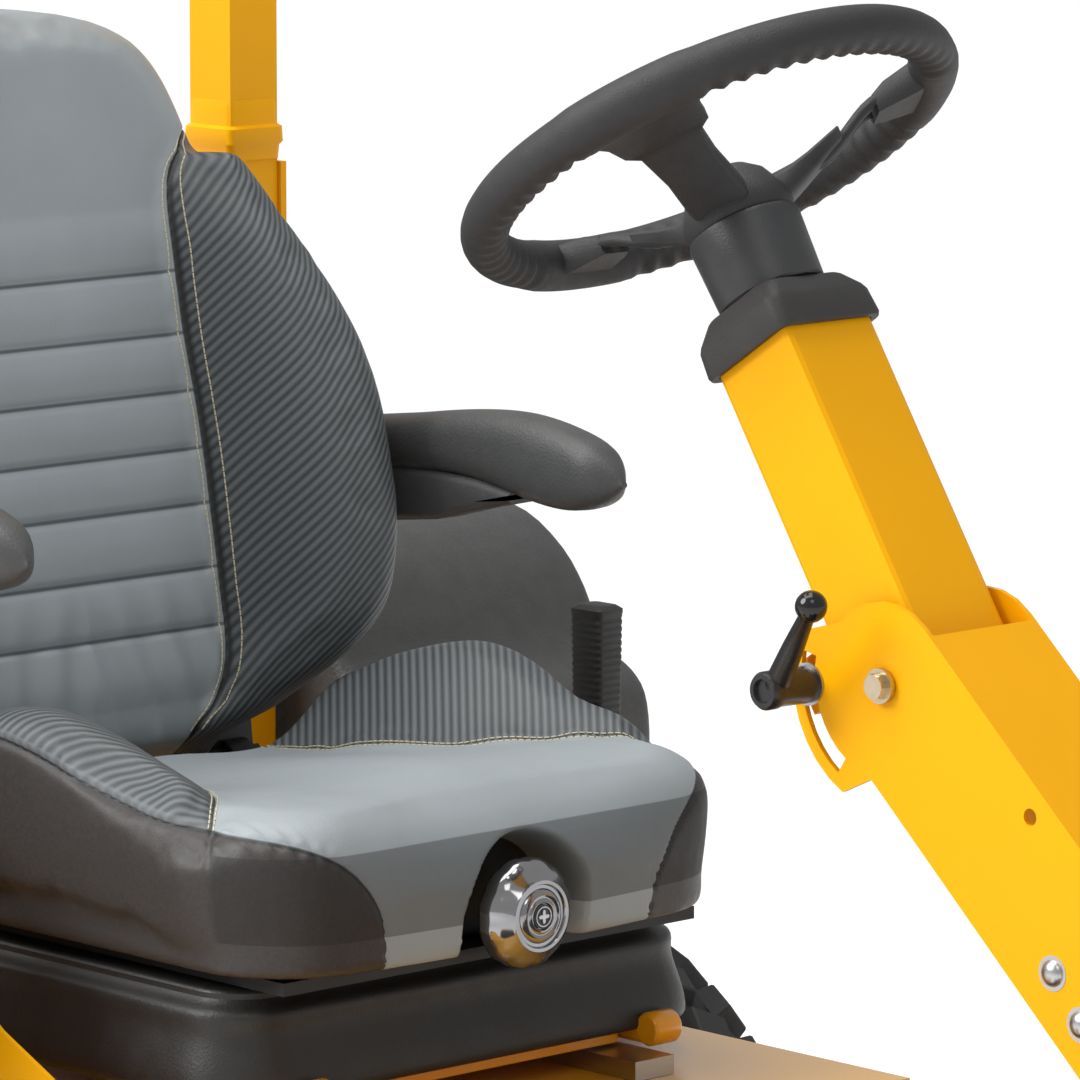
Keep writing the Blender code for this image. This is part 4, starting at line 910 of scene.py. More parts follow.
back_seam = curve_through([(0.0, 0.096), (0.009, 0.100), (0.027, 0.119), (0.073, 0.136), (0.121, 0.139),
                           (0.185, 0.142), (0.249, 0.144), (0.314, 0.143), (0.370, 0.144), (0.426, 0.149),
                           (0.454, 0.160), (0.472, 0.181), (0.483, 0.199), (0.50, 0.24)])
back_half = curve_through([(0.0, 0.150), (0.010, 0.190), (0.03, 0.226), (0.07, 0.256), (0.12, 0.266),
                           (0.20, 0.268), (0.28, 0.266), (0.36, 0.252), (0.42, 0.237), (0.48, 0.221),
                           (0.52, 0.207), (0.55, 0.189), (0.573, 0.162), (0.586, 0.128), (0.594, 0.075),
                           (0.5965, 0.030)])
wing_out = curve_through([(0.0, 0.0), (0.02, 0.030), (0.04, 0.070), (0.07, 0.106), (0.11, 0.124),
                          (0.16, 0.134), (0.22, 0.136), (0.28, 0.128), (0.34, 0.108), (0.40, 0.080),
                          (0.45, 0.056), (0.48, 0.034), (0.51, 0.0)])


def back_point(y, h, w):
    return BACK_FOOT + Vector((0, y, 0)) + UP_BACK * h + OUT_BACK * w


def back_section(h, count=30):
    """Half of the level section at a height: front centre, out round the wing, and to the rear centre."""
    close = smooth_step(h, -0.016, 0.010) * (1.0 - 0.55 * smooth_step(h, 0.55, 0.594))
    thick = 0.045 * math.sqrt(max(0.04, close))
    wide, lift, seam = back_half(h), wing_out(h), back_seam(h)
    middle = -0.047
    inner = wide - 0.05
    half_points = []
    for k in range(count):
        y = inner * k / count
        rise = smooth_step(y, seam - 0.006, max(seam + 0.05, inner)) if inner > seam else 0.0
        half_points.append((y, middle + thick + 0.004 * (1 - (y / 0.25) ** 2) + lift * rise ** 0.9))
    front = middle + thick + lift * (1.0 if inner > seam else 0.0)
    for k in range(14):
        a = math.radians(90 * k / 14)
        half_points.append((inner + 0.05 * math.sin(a), middle + (front - middle) * math.cos(a)))
    for k in range(8):
        a = math.radians(90 * k / 8)
        half_points.append((inner + 0.05 * math.cos(a), middle - thick * math.sin(a)))
    for k in range(8):
        half_points.append((inner * (1 - k / 8), middle - thick))
    return half_points


back_cage = bmesh.new()
heights = [-0.015, -0.012, -0.006, 0.003,
           0.013] + [0.025 + 0.012 * k for k in range(45)] + [0.563, 0.573, 0.582, 0.589, 0.594, 0.5965]
rings = []
for h in heights:
    half_points = back_section(h)
    ring = [back_point(y, h, w) for y, w in half_points]
    ring += [back_point(0.0, h, half_points[-1][1])]
    ring += [back_point(-y, h, w) for y, w in reversed(half_points[1:])]
    rings.append(ring)
ring_wall(back_cage, rings)


def back_hold(point):
    return smooth_step((point - BACK_FOOT).dot(UP_BACK), 0.0, 0.05)


back_mesh = upholstered("backrest_cover", back_cage, 0.006, 0.006, 3.0, back_hold)
for vertex in back_mesh.vertices:
    local = vertex.co - BACK_FOOT
    h, w, y = local.dot(UP_BACK), local.dot(OUT_BACK), abs(local.y)
    if w < -0.03:
        continue
    seam = back_seam(h)
    move = -0.0042 * math.exp(-((y - seam - 0.002) / 0.0036) ** 2)
    if y < seam - 0.002:
        fade = smooth_step(seam - y, 0.0, 0.010)
        for line in CHANNELS:
            move -= 0.0030 * math.exp(-((h - line) / 0.0030) ** 2) * fade
        for high, low in zip((0.42,) + CHANNELS, CHANNELS + (0.03,)):
            if low < h < high:
                move += 0.0030 * math.sin(math.pi * (h - low) / (high - low)) * fade
        if h < 0.14:
            move += 0.0022 * math.sin(y * 150 + h * 30) * fade * smooth_step(0.14 - h, 0.0, 0.06)
    vertex.co += OUT_BACK * move

back_look = Cover("backrest_cover", GREY, 0.5)
px, py, pz = back_look.axes()
half = py.size()
level = (px - BACK_FOOT.x) * UP_BACK.x + (pz - BACK_FOOT.z) * UP_BACK.z
outward = (px - BACK_FOOT.x) * OUT_BACK.x + (pz - BACK_FOOT.z) * OUT_BACK.z
steps = back_look.node("ShaderNodeFloatCurve", {}, {"Value": level / 0.6})
shape_curve = steps.socket.node.mapping
shape_curve.use_clip = False
curve = shape_curve.curves[0]
seam_points = [(h / 100, back_seam(h / 100)) for h in (0, 1, 2, 4, 7, 12, 18, 25, 31, 37, 41, 43, 45, 46, 47,
                                                       48, 49, 50)]
curve.points[0].location = (0.0, seam_points[0][1] / 0.3)
curve.points[1].location = (1.0, 0.9)
for h, y in seam_points[1:]:
    curve.points.new(h / 0.6, y / 0.3)
shape_curve.update()
past = half - steps * 0.3
front_side = outward.ramp(-0.050, -0.040)
wing = past.ramp(-0.0005, 0.0005) * front_side
rib_field = ribs(half * 0.80 - level * 0.60, 0.0050)
plain_edge = (half + outward * 0.25 - 0.262).ramp(0.0, 0.02)
rib_mask = wing * (1.0 - plain_edge)
# Ribs on the wings: the lighter crests are a painted highlight, and the grooves keep the dark vinyl colour.
rib_colour = back_look.blend(rib_field * rib_mask * 0.8, RIB_DARK, RIB_CREST_HIGHLIGHT)
grey = back_look.blend(back_look.speckle(12.0, 4.0), tuple(c * 0.86 for c in GREY),
                       tuple(c * 1.06 for c in GREY))
# The channel lines are coloured darker: painted shade in the sewn channel creases.
lines = None
for line in CHANNELS:
    near_line = 1.0 - (level - line).size().ramp(0.0006, 0.0022)
    lines = near_line if lines is None else lines + near_line
grey = back_look.blend(lines.maths("MINIMUM", 1.0) * 0.75, grey, (0.05, 0.06, 0.065))
grey = back_look.blend(front_side, RIB_DARK, grey)
colour = back_look.blend(wing, grey, rib_colour)
# A near-black line along the seam between the centre panel and the wings: painted shade in the seam's groove.
gap = (1.0 - (past - 0.002).size().ramp(0.0008, 0.0030)) * front_side
colour = back_look.blend(gap * 0.92, colour, (0.010, 0.010, 0.010))
back_look.put("Base Color", colour)
back_look.put("Roughness", back_look.speckle(60.0) * 0.14 + 0.38 + wing * 0.05)
back_look.bump(back_look.grain(0.35) + rib_field * rib_mask * 1.1, 0.55, 0.0008)
back = placed("backrest_cover", back_mesh, back_look.made, "backrest", "seat_vinyl", "backrest")
bpy.context.view_layer.update()
back_lines = []
for side_sign in (1, -1):
    for offset in (-0.0042, 0.0072):
        row = [back_point(side_sign * (back_seam(0.006 + 0.478 * i / 120) + offset), 0.006 + 0.478 * i / 120,
                          0.3)
               for i in range(121)]
        back_lines.append(on_surface(back, row, -OUT_BACK, 0.0003))
stitches("backrest_stitching", back_lines, "backrest", 0.0050)


# ---------------------------------------------------------------- seat suspension: bellows, knob, base, hinge
# A black moulded skirt with a groove under the cushion hides the suspension; a clear-chromed knob with rings
# and a star-headed screw sets the rider's weight. Below it, glossy amber castings and links show.
rubber_look = Look("bellows_rubber", (0.020, 0.019, 0.018), 0.46)
rubber_look.shade(0.25, rubber_look.speckle(30.0, 4.0))
rubber_look.put("Roughness", rubber_look.speckle(60.0) * 0.2 + 0.36)
rubber_look.bump(rubber_look.pebble(500.0), 0.3, 0.0005)
soft_black = rubber_look.made
bellows_low, bellows_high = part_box("suspension_bellows")
mid_x = (bellows_low[0] + bellows_high[0]) / 2
half_x, half_y = (bellows_high[0] - bellows_low[0]) / 2, (bellows_high[1] - bellows_low[1]) / 2
fold_profile = [(-0.060, -0.003), (-0.030, -0.002), (-0.018, -0.001), (-0.012, -0.001), (-0.009, -0.004),
                (-0.011, -0.008), (-0.006, -0.013), (0.000, -0.016), (0.002, -0.022), (0.000, -0.030),
                (0.004, -0.044), (0.010, -0.060), (0.013, -0.075), (0.011, -0.081), (0.004, -0.082),
                (0.000, -0.076), (-0.004, -0.050), (-0.060, -0.046)]
skirt_shape = bmesh.new()
rings = []
for out, drop in fold_profile:
    outline_points = rounded_box(half_x + out - 0.004, half_y + out - 0.002, max(0.012, 0.052 + out), 8)
    rings.append([Vector((mid_x + x, y, bellows_high[2] + drop)) for x, y in outline_points])
ring_wall(skirt_shape, rings, closed_path=True)
skirt = finished("suspension_skirt", skirt_shape, soft_black, "", ("suspension_bellows",),
                 70.0, levels=1)
skirt.data = applied(skirt)
skirt.modifiers.clear()
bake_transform(skirt)

knob_chrome = speckled("clear_chromed_plastic", (0.34, 0.34, 0.35), 0.12, 0.9, (0.3, 35.0, 2.0))
knob_shape = bmesh.new()
knob_profile = [(0.0, 0.0), (0.032, 0.0), (0.036, 0.003), (0.0400, 0.006), (0.0410, 0.010), (0.0410, 0.017),
                (0.0395, 0.021), (0.0345, 0.026), (0.0280, 0.0305), (0.0265, 0.0325), (0.0240, 0.0325),
                (0.0228, 0.0305), (0.0205, 0.0305), (0.0192, 0.0325), (0.0165, 0.0335), (0.0150, 0.0325),
                (0.0135, 0.0325), (0.0122, 0.0338), (0.0105, 0.0340), (0.0095, 0.0325), (0.0, 0.0325)]
FLUTES = 12
rings = []
for radius, along_x in knob_profile:
    ring = []
    for i in range(FLUTES * 12):
        a = math.tau * i / (FLUTES * 12)
        flute = 1.0 - 0.022 * smooth_step(radius, 0.027, 0.040) * (0.5 + 0.5 * math.cos(FLUTES * a)) ** 2
        reach = max(radius, 0.00003) * flute
        ring.append(KNOB + Vector((along_x, reach * math.cos(a), reach * math.sin(a))))
    rings.append(ring)
ring_wall(knob_shape, rings)
finished("weight_knob_body", knob_shape, knob_chrome, "weight_knob", ("weight_knob",), 45.0)
boss_shape = bmesh.new()
lathe(boss_shape, [(0.0, 0.0), (0.0092, 0.0), (0.0092, 0.0016), (0.0, 0.0016)], KNOB + Vector((0.0322, 0, 0)),
      (1, 0, 0), 32)
finished("weight_knob_boss", boss_shape, ball_gloss, "weight_knob")
star_shape = bmesh.new()
star = []
for i in range(48):
    a = math.tau * i / 48
    reach = 0.0036 + 0.0016 * math.cos(4 * a)
    star.append(KNOB + Vector((0.0338, reach * math.cos(a), reach * math.sin(a))))
ring_wall(star_shape, [star, [p + Vector((0.0010, 0, 0)) for p in star]])
lathe(star_shape, [(0.0068, 0.0), (0.0076, 0.0), (0.0076, 0.0008), (0.0068, 0.0008), (0.0068, 0.0)],
      KNOB + Vector((0.0338, 0, 0)), (1, 0, 0), 32)
finished("weight_knob_screw", star_shape, bright_steel, "weight_knob")


def bar(shape, start, end, width, height, up=(0, 0, 1)):
    """A rectangular bar between two points."""
    start, end = Vector(start), Vector(end)
    along_bar = (end - start).normalized()
    across = Vector(up).cross(along_bar).normalized()
    upward = along_bar.cross(across)
    b = min(width, height) * 0.15
    section = [(width / 2 - b, height / 2), (b - width / 2, height / 2), (-width / 2, height / 2 - b),
               (-width / 2, b - height / 2), (b - width / 2, -height / 2), (width / 2 - b, -height / 2),
               (width / 2, b - height / 2), (width / 2, height / 2 - b)]
    ring_wall(shape, [[p + across * x + upward * y for x, y in section] for p in (start, end)])


base_low, base_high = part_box("suspension_base")
cast_shape = bmesh.new()
for side_sign in (1, -1):
    y = side_sign * (base_high[1] - 0.012)
    bar(cast_shape, (base_low[0], y, base_low[2] + 0.012), (base_high[0] + 0.004, y, base_low[2] + 0.012),
        0.024, 0.022)
    lathe(cast_shape, [(0, -0.014), (0.011, -0.014), (0.013, -0.011), (0.013, 0.011), (0.011, 0.014),
                       (0, 0.014)],
          (base_high[0] + 0.010, y, base_low[2] + 0.0135), (0, 1, 0), 28)
    lathe(cast_shape, [(0, -0.016), (0.008, -0.016), (0.008, 0.016), (0, 0.016)],
          (base_high[0] - 0.022, y, base_low[2] + 0.014), (0, 1, 0), 20)
bar(cast_shape, (base_high[0] - 0.010, -0.17, base_high[2] - 0.011),
    (base_high[0] - 0.010, 0.17, base_high[2] - 0.011),
    0.018, 0.018)
bar(cast_shape, (base_low[0] + 0.02, -0.17, base_high[2] - 0.014),
    (base_low[0] + 0.02, 0.17, base_high[2] - 0.014),
    0.020, 0.020)
bar(cast_shape, (base_low[0] + 0.01, 0.0, base_low[2] + 0.008),
    (base_high[0] - 0.01, 0.0, base_low[2] + 0.008),
    0.30, 0.012)
finished("suspension_castings", cast_shape, amber_paint, "seat_base", ("suspension_base",),
         35.0, rounding=0.0012)

hinge_shape = bmesh.new()
for side_sign in (1, -1):
    y = side_sign * 0.178
    bar(hinge_shape, (-0.500, y, 0.738), (-0.548, y, 0.800), 0.010, 0.050, up=(0, 1, 0.01))
    bar(hinge_shape, (-0.548, y, 0.770), (-0.560, y, 0.880), 0.008, 0.044, up=(0, 1, 0.01))
    lathe(hinge_shape, [(0, -0.012), (0.019, -0.012), (0.019, 0.012), (0, 0.012)], (-0.548, y, 0.790),
          (0, 1, 0), 24)
bar(hinge_shape, (-0.548, -0.19, 0.790), (-0.548, 0.19, 0.790), 0.016, 0.016)
bar(hinge_shape, (-0.500, -0.17, 0.748), (-0.500, 0.17, 0.748), 0.060, 0.012)
finished("recline_hinge", hinge_shape, black_paint, "seat", (), 35.0)
shell_shape = bmesh.new()
rings = []
for k in range(15):
    h = 0.035 + 0.50 * k / 14
    wide = back_half(h) - 0.022
    depth = -0.0945 - 0.006 * math.sin(math.pi * k / 14)
    ring = [back_point(wide * math.sin(math.radians(a)) / math.sin(math.radians(60)), h,
                       depth + 0.010 * (1 - math.cos(math.radians(a))) * 2) for a in range(-60, 61, 10)]
    ring += [p + OUT_BACK * 0.014 for p in reversed(ring)]
    rings.append(ring)
ring_wall(shell_shape, rings)
shell_plastic = moulded("seat_back_shell", (0.022, 0.022, 0.023), 0.5, 420.0, 0.5)
finished("backrest_shell", shell_shape, shell_plastic, "backrest", (), 50.0, levels=1)


# ---------------------------------------------------------------- armrests
# Foam pads moulded over a steel arm: a long pad with a drooping rounded nose above a plain recessed body.
arm_plastic = moulded("armrest_foam_skin", (0.066, 0.067, 0.067), 0.5, 480.0, 0.4)
PAD_TOP = curve_through([(-0.560, 1.056), (-0.52, 1.063), (-0.45, 1.072), (-0.40, 1.079), (-0.35, 1.083),
                         (-0.312, 1.082), (-0.27, 1.075), (-0.24, 1.064), (-0.222, 1.049), (-0.216, 1.038)])
PAD_LOW = curve_through([(-0.560, 1.016), (-0.50, 1.018), (-0.44, 1.026), (-0.40, 1.028), (-0.36, 1.024),
                         (-0.32, 1.016), (-0.28, 1.012), (-0.25, 1.015), (-0.228, 1.024), (-0.216, 1.036)])
for tag, side_sign in (("left", 1), ("right", -1)):
    arm_low, arm_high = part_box("armrest_" + tag)
    arm_y = (arm_low[1] + arm_high[1]) / 2
    pad_shape = bmesh.new()
    rings = []
    for k in range(36):
        t = k / 35
        x = -0.560 + 0.3435 * (1 - (1 - t) ** 1.6)
        top, low = PAD_TOP(x), PAD_LOW(x)
        end = math.sqrt(max(0.02,
                            1 - smooth_step(x, -0.262, -0.2155) ** 2)) * (0.9 + 0.1 * smooth_step(t, 0, 0.06))
        high, wide = max(0.002, (top - low) / 2), 0.0225 * end
        ring = []
        for i in range(28):
            a = math.tau * i / 28
            c, d = math.cos(a), math.sin(a)
            ring.append(Vector((x, arm_y + wide * math.copysign(abs(c) ** 0.65, c),
                                (top + low) / 2 + high * math.copysign(abs(d) ** 0.8, d))))
        rings.append(ring)
    ring_wall(pad_shape, rings)
    rings = []
    for x, top, low in ((-0.556, 1.03, 0.998), (-0.53, 1.03, 0.986), (-0.47, 1.03, 0.984),
                        (-0.42, 1.03, 0.990), (-0.37, 1.028, 1.003), (-0.33, 1.022, 1.012)):
        section = rounded_box(0.0185, (top - low) / 2, 0.007, 3)
        rings.append([Vector((x, arm_y + a, (top + low) / 2 + b)) for a, b in section])
    ring_wall(pad_shape, rings)
    lathe(pad_shape, [(0, -0.024), (0.017, -0.024), (0.018, -0.021), (0.018, 0.021), (0.017, 0.024),
                      (0, 0.024)],
          (-0.53, arm_y, 1.012), (0, 1, 0), 28)
    pad = finished("armrest_pad_" + tag, pad_shape, arm_plastic, "armrest_" + tag,
                   ("armrest_" + tag,), 55.0)


# ---------------------------------------------------------------- fenders, fuel cap and parking brake
# The rear fenders are rotomoulded in pebbled charcoal plastic with soft edges; the left one is the fuel tank.
tank_plastic = moulded("rotomoulded_plastic", (0.060, 0.061, 0.060), 0.52, 300.0, 0.6)
tank_top = [(-0.955, 0.700), (-0.957, 0.820), (-0.945, 0.880), (-0.915, 0.922), (-0.870, 0.933),
            (-0.790, 0.934), (-0.735, 0.926), (-0.690, 0.900), (-0.662, 0.868), (-0.645, 0.836),
            (-0.625, 0.814), (-0.600, 0.800), (-0.584, 0.782), (-0.578, 0.750), (-0.580, 0.700)]


def rounded_loop(points, steps):
    """A Catmull-Rom loop through points."""
    loop = []
    count = len(points)
    for i in range(count):
        a, b, c, d = (Vector(points[(i + k) % count]) for k in (-1, 0, 1, 2))
        for k in range(steps):
            t = k / steps
            loop.append(((b * 2) + (c - a) * t + (a * 2 - b * 5 + c * 4 - d) * t * t
                         + (b * 3 - a - c * 3 + d) * t ** 3) / 2)
    return loop


tank_loop = rounded_loop(tank_top + [(-0.590, 0.664), (-0.640, 0.661), (-0.770, 0.661), (-0.890, 0.661),
                                     (-0.948, 0.664)], 3)
tank_middle = Vector((-0.775, 0.785))
for tag, side_sign in (("left", 1), ("right", -1)):
    tank_shape = bmesh.new()
    rings = []
    low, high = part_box("fender_" + tag)
    centre_y, half_width = (low[1] + high[1]) / 2, (high[1] - low[1]) / 2
    for k in range(13):
        a = math.radians(-90 + 15 * k)
        if abs(k - 6) == 6:
            spots = [(math.copysign(half_width, k - 6), 0.90)]
        else:
            spots = [(math.copysign(half_width - 0.022 * (1 - abs(math.sin(a))), math.sin(a)),
                      1.0 - 0.100 * (1 - math.cos(a)) ** 1.5)] if k != 6 else [(0.0, 1.0)]
        for offset, scale in spots:
            ring = [tank_middle + (p - tank_middle) * scale for p in tank_loop]
            rings.append([Vector((p.x, centre_y + offset, max(0.6605, p.y))) for p in ring])
    ring_wall(tank_shape, rings)
    finished("fender_skin_" + tag, tank_shape, tank_plastic, "chassis",
             ("fender_" + tag,), 70.0)

cap_low, cap_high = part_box("fuel_cap")
cap_middle = ((cap_low[0] + cap_high[0]) / 2, (cap_low[1] + cap_high[1]) / 2)
cap_shape = bmesh.new()
cap_radius, cap_tall = (cap_high[0] - cap_low[0]) / 2, cap_high[2] - cap_low[2]
rings = []
for radius, height in ((0.0, 0.0), (0.92, 0.0), (1.0, 0.12), (1.0, 0.72), (0.93, 0.88), (0.55, 0.94),
                       (0.5, 1.0), (0.0, 1.0)):
    ring = []
    for i in range(120):
        a = math.tau * i / 120
        grip = 1.0 - 0.05 * (math.cos(20 * a) > 0) * (0.1 < height < 0.8)
        ring.append(Vector((cap_middle[0] + max(radius, 0.001) * cap_radius * grip * math.cos(a),
                            cap_middle[1] + max(radius, 0.001) * cap_radius * grip * math.sin(a),
                            cap_low[2] + cap_tall * height)))
    rings.append(ring)
ring_wall(cap_shape, rings)
finished("fuel_cap_top", cap_shape, hub_plastic, "fuel_cap", ("fuel_cap",))

grip_x = (-0.3175 - 0.2825) / 2
brake_shape = bmesh.new()
rings = []
GRIP_LOW, GRIP_HIGH, RIBS = 0.775, 0.922, 26
for k in range(RIBS * 3 + 1):
    t = k / (RIBS * 3)
    z = GRIP_LOW + (GRIP_HIGH - GRIP_LOW) * t
    swell = 0.93 + 0.10 * t - (0.035 if k % 3 == 1 else 0.0)
    rings.append([Vector((grip_x + x, 0.345 + y, z))
                  for x, y in rounded_box(0.0170 * swell, 0.0138 * swell, 0.005, 3)])
for grow, rise in ((1.05, 0.001), (1.05, 0.004), (0.80, 0.007)):
    rings.append([Vector((grip_x + x, 0.345 + y, GRIP_HIGH + rise))
                  for x, y in rounded_box(0.0170 * grow, 0.0138 * grow, 0.005, 3)])
ring_wall(brake_shape, rings)
bar(brake_shape, (-0.290, 0.345, 0.602), (-0.297, 0.345, 0.780), 0.016, 0.008, up=(1, 0, 0))
lathe(brake_shape, [(0, -0.015), (0.021, -0.015), (0.022, -0.013), (0.022, 0.013), (0.021, 0.015),
                    (0, 0.015)],
      (-0.29, 0.345, 0.60), (0, 1, 0), 28)
grip_black = moulded("brake_grip_rubber", (0.020, 0.020, 0.020), 0.5, 600.0, 0.3)
finished("park_brake_grip", brake_shape, grip_black, "park_brake", ("park_brake_lever",))


# ---------------------------------------------------------------- tyres and rims
# Drive tyres carry staggered blocks on a round carcass; the front tyres have finer blocks. The rims are
# pressed steel discs with a rolled edge, and hexagonal nuts round a hub.
tread_look = Look("tyre_rubber", (0.022, 0.022, 0.022), 0.7)
tread_look.shade(0.3, tread_look.speckle(20.0, 5.0))
tread_look.put("Roughness", tread_look.speckle(40.0, 3.0) * 0.2 + 0.6)
tread_look.bump(tread_look.speckle(350.0, 3.0), 0.4, 0.0008)
tyre_black = tread_look.made


def tyre(node, body, count, rows, block_size, height, rim_radius):
    """A tyre's carcass and its tapered tread blocks, fitted to a CAD tyre's box."""
    low, high = (Vector(corner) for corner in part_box(node))
    middle = (low + high) / 2
    radius, width = (high.z - low.z) / 2, high.y - low.y
    shape = bmesh.new()
    inner = radius - height
    lathe(shape, [(rim_radius, -width * 0.30), (rim_radius + 0.010, -width * 0.40),
                  (inner * 0.86, -width * 0.488),
                  (inner * 0.93, -width * 0.47), (inner * 0.975, -width * 0.40), (inner, -width * 0.26),
                  (inner * 1.01, 0.0), (inner, width * 0.26), (inner * 0.975, width * 0.40),
                  (inner * 0.93, width * 0.47), (inner * 0.86, width * 0.488),
                  (rim_radius + 0.010, width * 0.40),
                  (rim_radius, width * 0.30), (rim_radius, -width * 0.30)], middle, (0, 1, 0), 72)
    finished(node + "_carcass", shape, tyre_black, body, (node,), 50.0)
    places, outward, around = [], [], []
    for across, drop, tilt, phase, twist in rows:
        for i in range(count):
            a = math.tau * (i + phase) / count
            out = Vector((math.cos(a), 0, math.sin(a)))
            lean = Vector((out.x * math.cos(tilt), math.sin(tilt), out.z * math.cos(tilt)))
            forward = Vector((-out.z, 0, out.x))
            side_way = lean.cross(forward)
            places.append(middle + out * (radius - drop - height - 0.0006) + Vector((0, across * width, 0)))
            outward.append(lean)
            around.append(forward * math.cos(twist) + side_way * math.sin(twist))
    nodes_of = Scatter(node + "_tread_nodes", {"Block Height": height})
    block = nodes_of.node("GeometryNodeMeshCone", {}, {
        "Vertices": 4, "Radius Top": 0.82 * math.sqrt(0.5), "Radius Bottom": math.sqrt(0.5),
        "Depth": nodes_of.inputs["Block Height"]})
    square = nodes_of.node("GeometryNodeTransform", {},
                           {"Geometry": block, "Rotation": (0.0, 0.0, math.radians(45))})
    stretched = nodes_of.node("GeometryNodeTransform", {}, {"Geometry": square, "Scale": (*block_size, 1.0)})
    turn = nodes_of.node("FunctionNodeAxesToRotation", {"primary_axis": "Z", "secondary_axis": "X"},
                         {0: nodes_of.direction("outward"), 1: nodes_of.direction("around")})
    made = nodes_of.run(node + "_tread", places, {"outward": outward, "around": around}, stretched, turn,
                        tyre_black, wear=0.0016)
    declare(made, body)


REAR_ROWS = [(-0.44, 0.022, -0.75, 0.0, 0.25), (-0.29, 0.006, -0.22, 0.5, 0.35), (-0.10, 0.0, 0.0, 0.0, 0.3),
             (0.10, 0.0, 0.0, 0.5, -0.3), (0.29, 0.006, 0.22, 0.0, -0.35), (0.44, 0.022, 0.75, 0.5, -0.25)]
FRONT_ROWS = [(-0.38, 0.010, -0.5, 0.0, 0.0), (-0.13, 0.001, 0.0, 0.5, 0.0), (0.13, 0.001, 0.0, 0.0, 0.0),
              (0.38, 0.010, 0.5, 0.5, 0.0)]
wheel_yellow = painted("wheel_yellow", (0.93, 0.43, 0.0004), 0.38, 0.2)
for tag, side_sign in (("left", 1), ("right", -1)):
    tyre("rear_tyre_" + tag, "rear_wheel_" + tag, 30, REAR_ROWS, (0.040, 0.046), 0.019, 0.155)
    tyre("front_tyre_" + tag, "front_wheel_" + tag, 34, FRONT_ROWS, (0.022, 0.030), 0.008, 0.094)
    for end, nuts, nut_radius in (("rear", 5, 0.010), ("front", 4, 0.007)):
        node = end + "_rim_" + tag
        low, high = (Vector(corner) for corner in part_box(node))
        middle = (low + high) / 2
        wide = (high.y - low.y) / 2
        radius = (high.z - low.z) / 2
        out = Vector((0, side_sign, 0))
        rim_shape = bmesh.new()
        lathe(rim_shape, [(radius, wide), (radius - 0.006, wide - 0.002), (radius - 0.012, wide - 0.012),
                          (radius - 0.020, wide - 0.030), (radius * 0.80, wide * 0.40),
                          (radius * 0.60, wide * 0.30), (radius * 0.45, wide * 0.42),
                          (radius * 0.26, wide * 0.44), (radius * 0.25, wide * 0.62),
                          (radius * 0.16, wide * 0.66), (0, wide * 0.66), (0, wide * 0.30),
                          (radius * 0.45, wide * 0.34), (radius * 0.62, wide * 0.20),
                          (radius * 0.82, wide * 0.30), (radius - 0.026, wide * 0.4),
                          (radius - 0.026, -wide * 0.8), (radius - 0.010, -wide), (radius, -wide),
                          (radius - 0.004, -wide * 0.9), (radius - 0.016, -wide * 0.7),
                          (radius - 0.016, wide * 0.7),
                          (radius - 0.004, wide * 0.9), (radius, wide)], middle, out, 64)
        finished(node + "_disc", rim_shape, wheel_yellow, end + "_wheel_" + tag, (node,),
                 40.0)
        places = [middle + out * (wide * 0.43) + Vector((math.cos(a), 0, math.sin(a))) * radius * 0.36
                  for a in (math.tau * i / nuts for i in range(nuts))]
        bolts(node + "_nuts", places, out, nut_radius, 0.007, "hex", zinc_plate, end + "_wheel_" + tag)


# ---------------------------------------------------------------- roll bar sleeves
# The folding hoop's legs end in a pressed sleeve with a proud hem that drops over the fixed posts.
dress(yellow_paint, "rops_hoop")
hoop_low, hoop_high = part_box("rops_hoop")
leg_x = (hoop_low[0] + hoop_high[0]) / 2
LEG_HALF = 0.0254
leg_y = hoop_high[1] - LEG_HALF
sleeve_shape = bmesh.new()
for side_sign in (1, -1):
    rings = []
    for z, out in ((1.302, 0.0003), (1.297, 0.0011), (1.281, 0.0014), (1.2785, 0.0046), (1.2660, 0.0052),
                   (1.2630, 0.0030), (1.2520, 0.0022), (1.2520, 0.0003)):
        section = rounded_box(LEG_HALF + out, LEG_HALF + out, 0.006, 3)
        rings.append([Vector((leg_x + x, side_sign * leg_y + y, z)) for x, y in section])
    ring_wall(sleeve_shape, rings, caps=False)
finished("roll_bar_sleeves", sleeve_shape, yellow_paint, "roll_bar")


# ---------------------------------------------------------------- floor mat, pedals and console
# A ribbed rubber mat lies on the steel floor. The pedals carry rubber treads with cross bars; the moulded
# console has a start key with a red grip and a yellow blade knob, each in a steel ring.
def slab_box(shape, low, high, place=None):
    """A box between two corners, turned by a matrix where one is given."""
    made = bmesh.ops.create_cube(shape, size=1.0)["verts"]
    low, high = Vector(low), Vector(high)
    bmesh.ops.scale(shape, vec=high - low, verts=made)
    bmesh.ops.translate(shape, vec=(low + high) / 2, verts=made)
    if place is not None:
        bmesh.ops.transform(shape, matrix=place, verts=made)


FLOOR_TOP = 0.4418
mat_rubber = speckled("ribbed_rubber_mat", (0.016, 0.016, 0.016), 0.66, 0.0, (0.35, 9.0, 5.0),
                      (300.0, 3.0, 0.3, 0.0006))
mat_shape = bmesh.new()
slab_box(mat_shape, (0.130, -0.270, FLOOR_TOP + 0.0004), (0.590, 0.270, FLOOR_TOP + 0.0040))
for k in range(27):
    y = -0.260 + 0.02 * k
    slab_box(mat_shape, (0.145, y - 0.0045, FLOOR_TOP + 0.0038), (0.575, y + 0.0045, FLOOR_TOP + 0.0065))
finished("floor_mat", mat_shape, mat_rubber, "chassis", (), 30.0, rounding=0.0008)

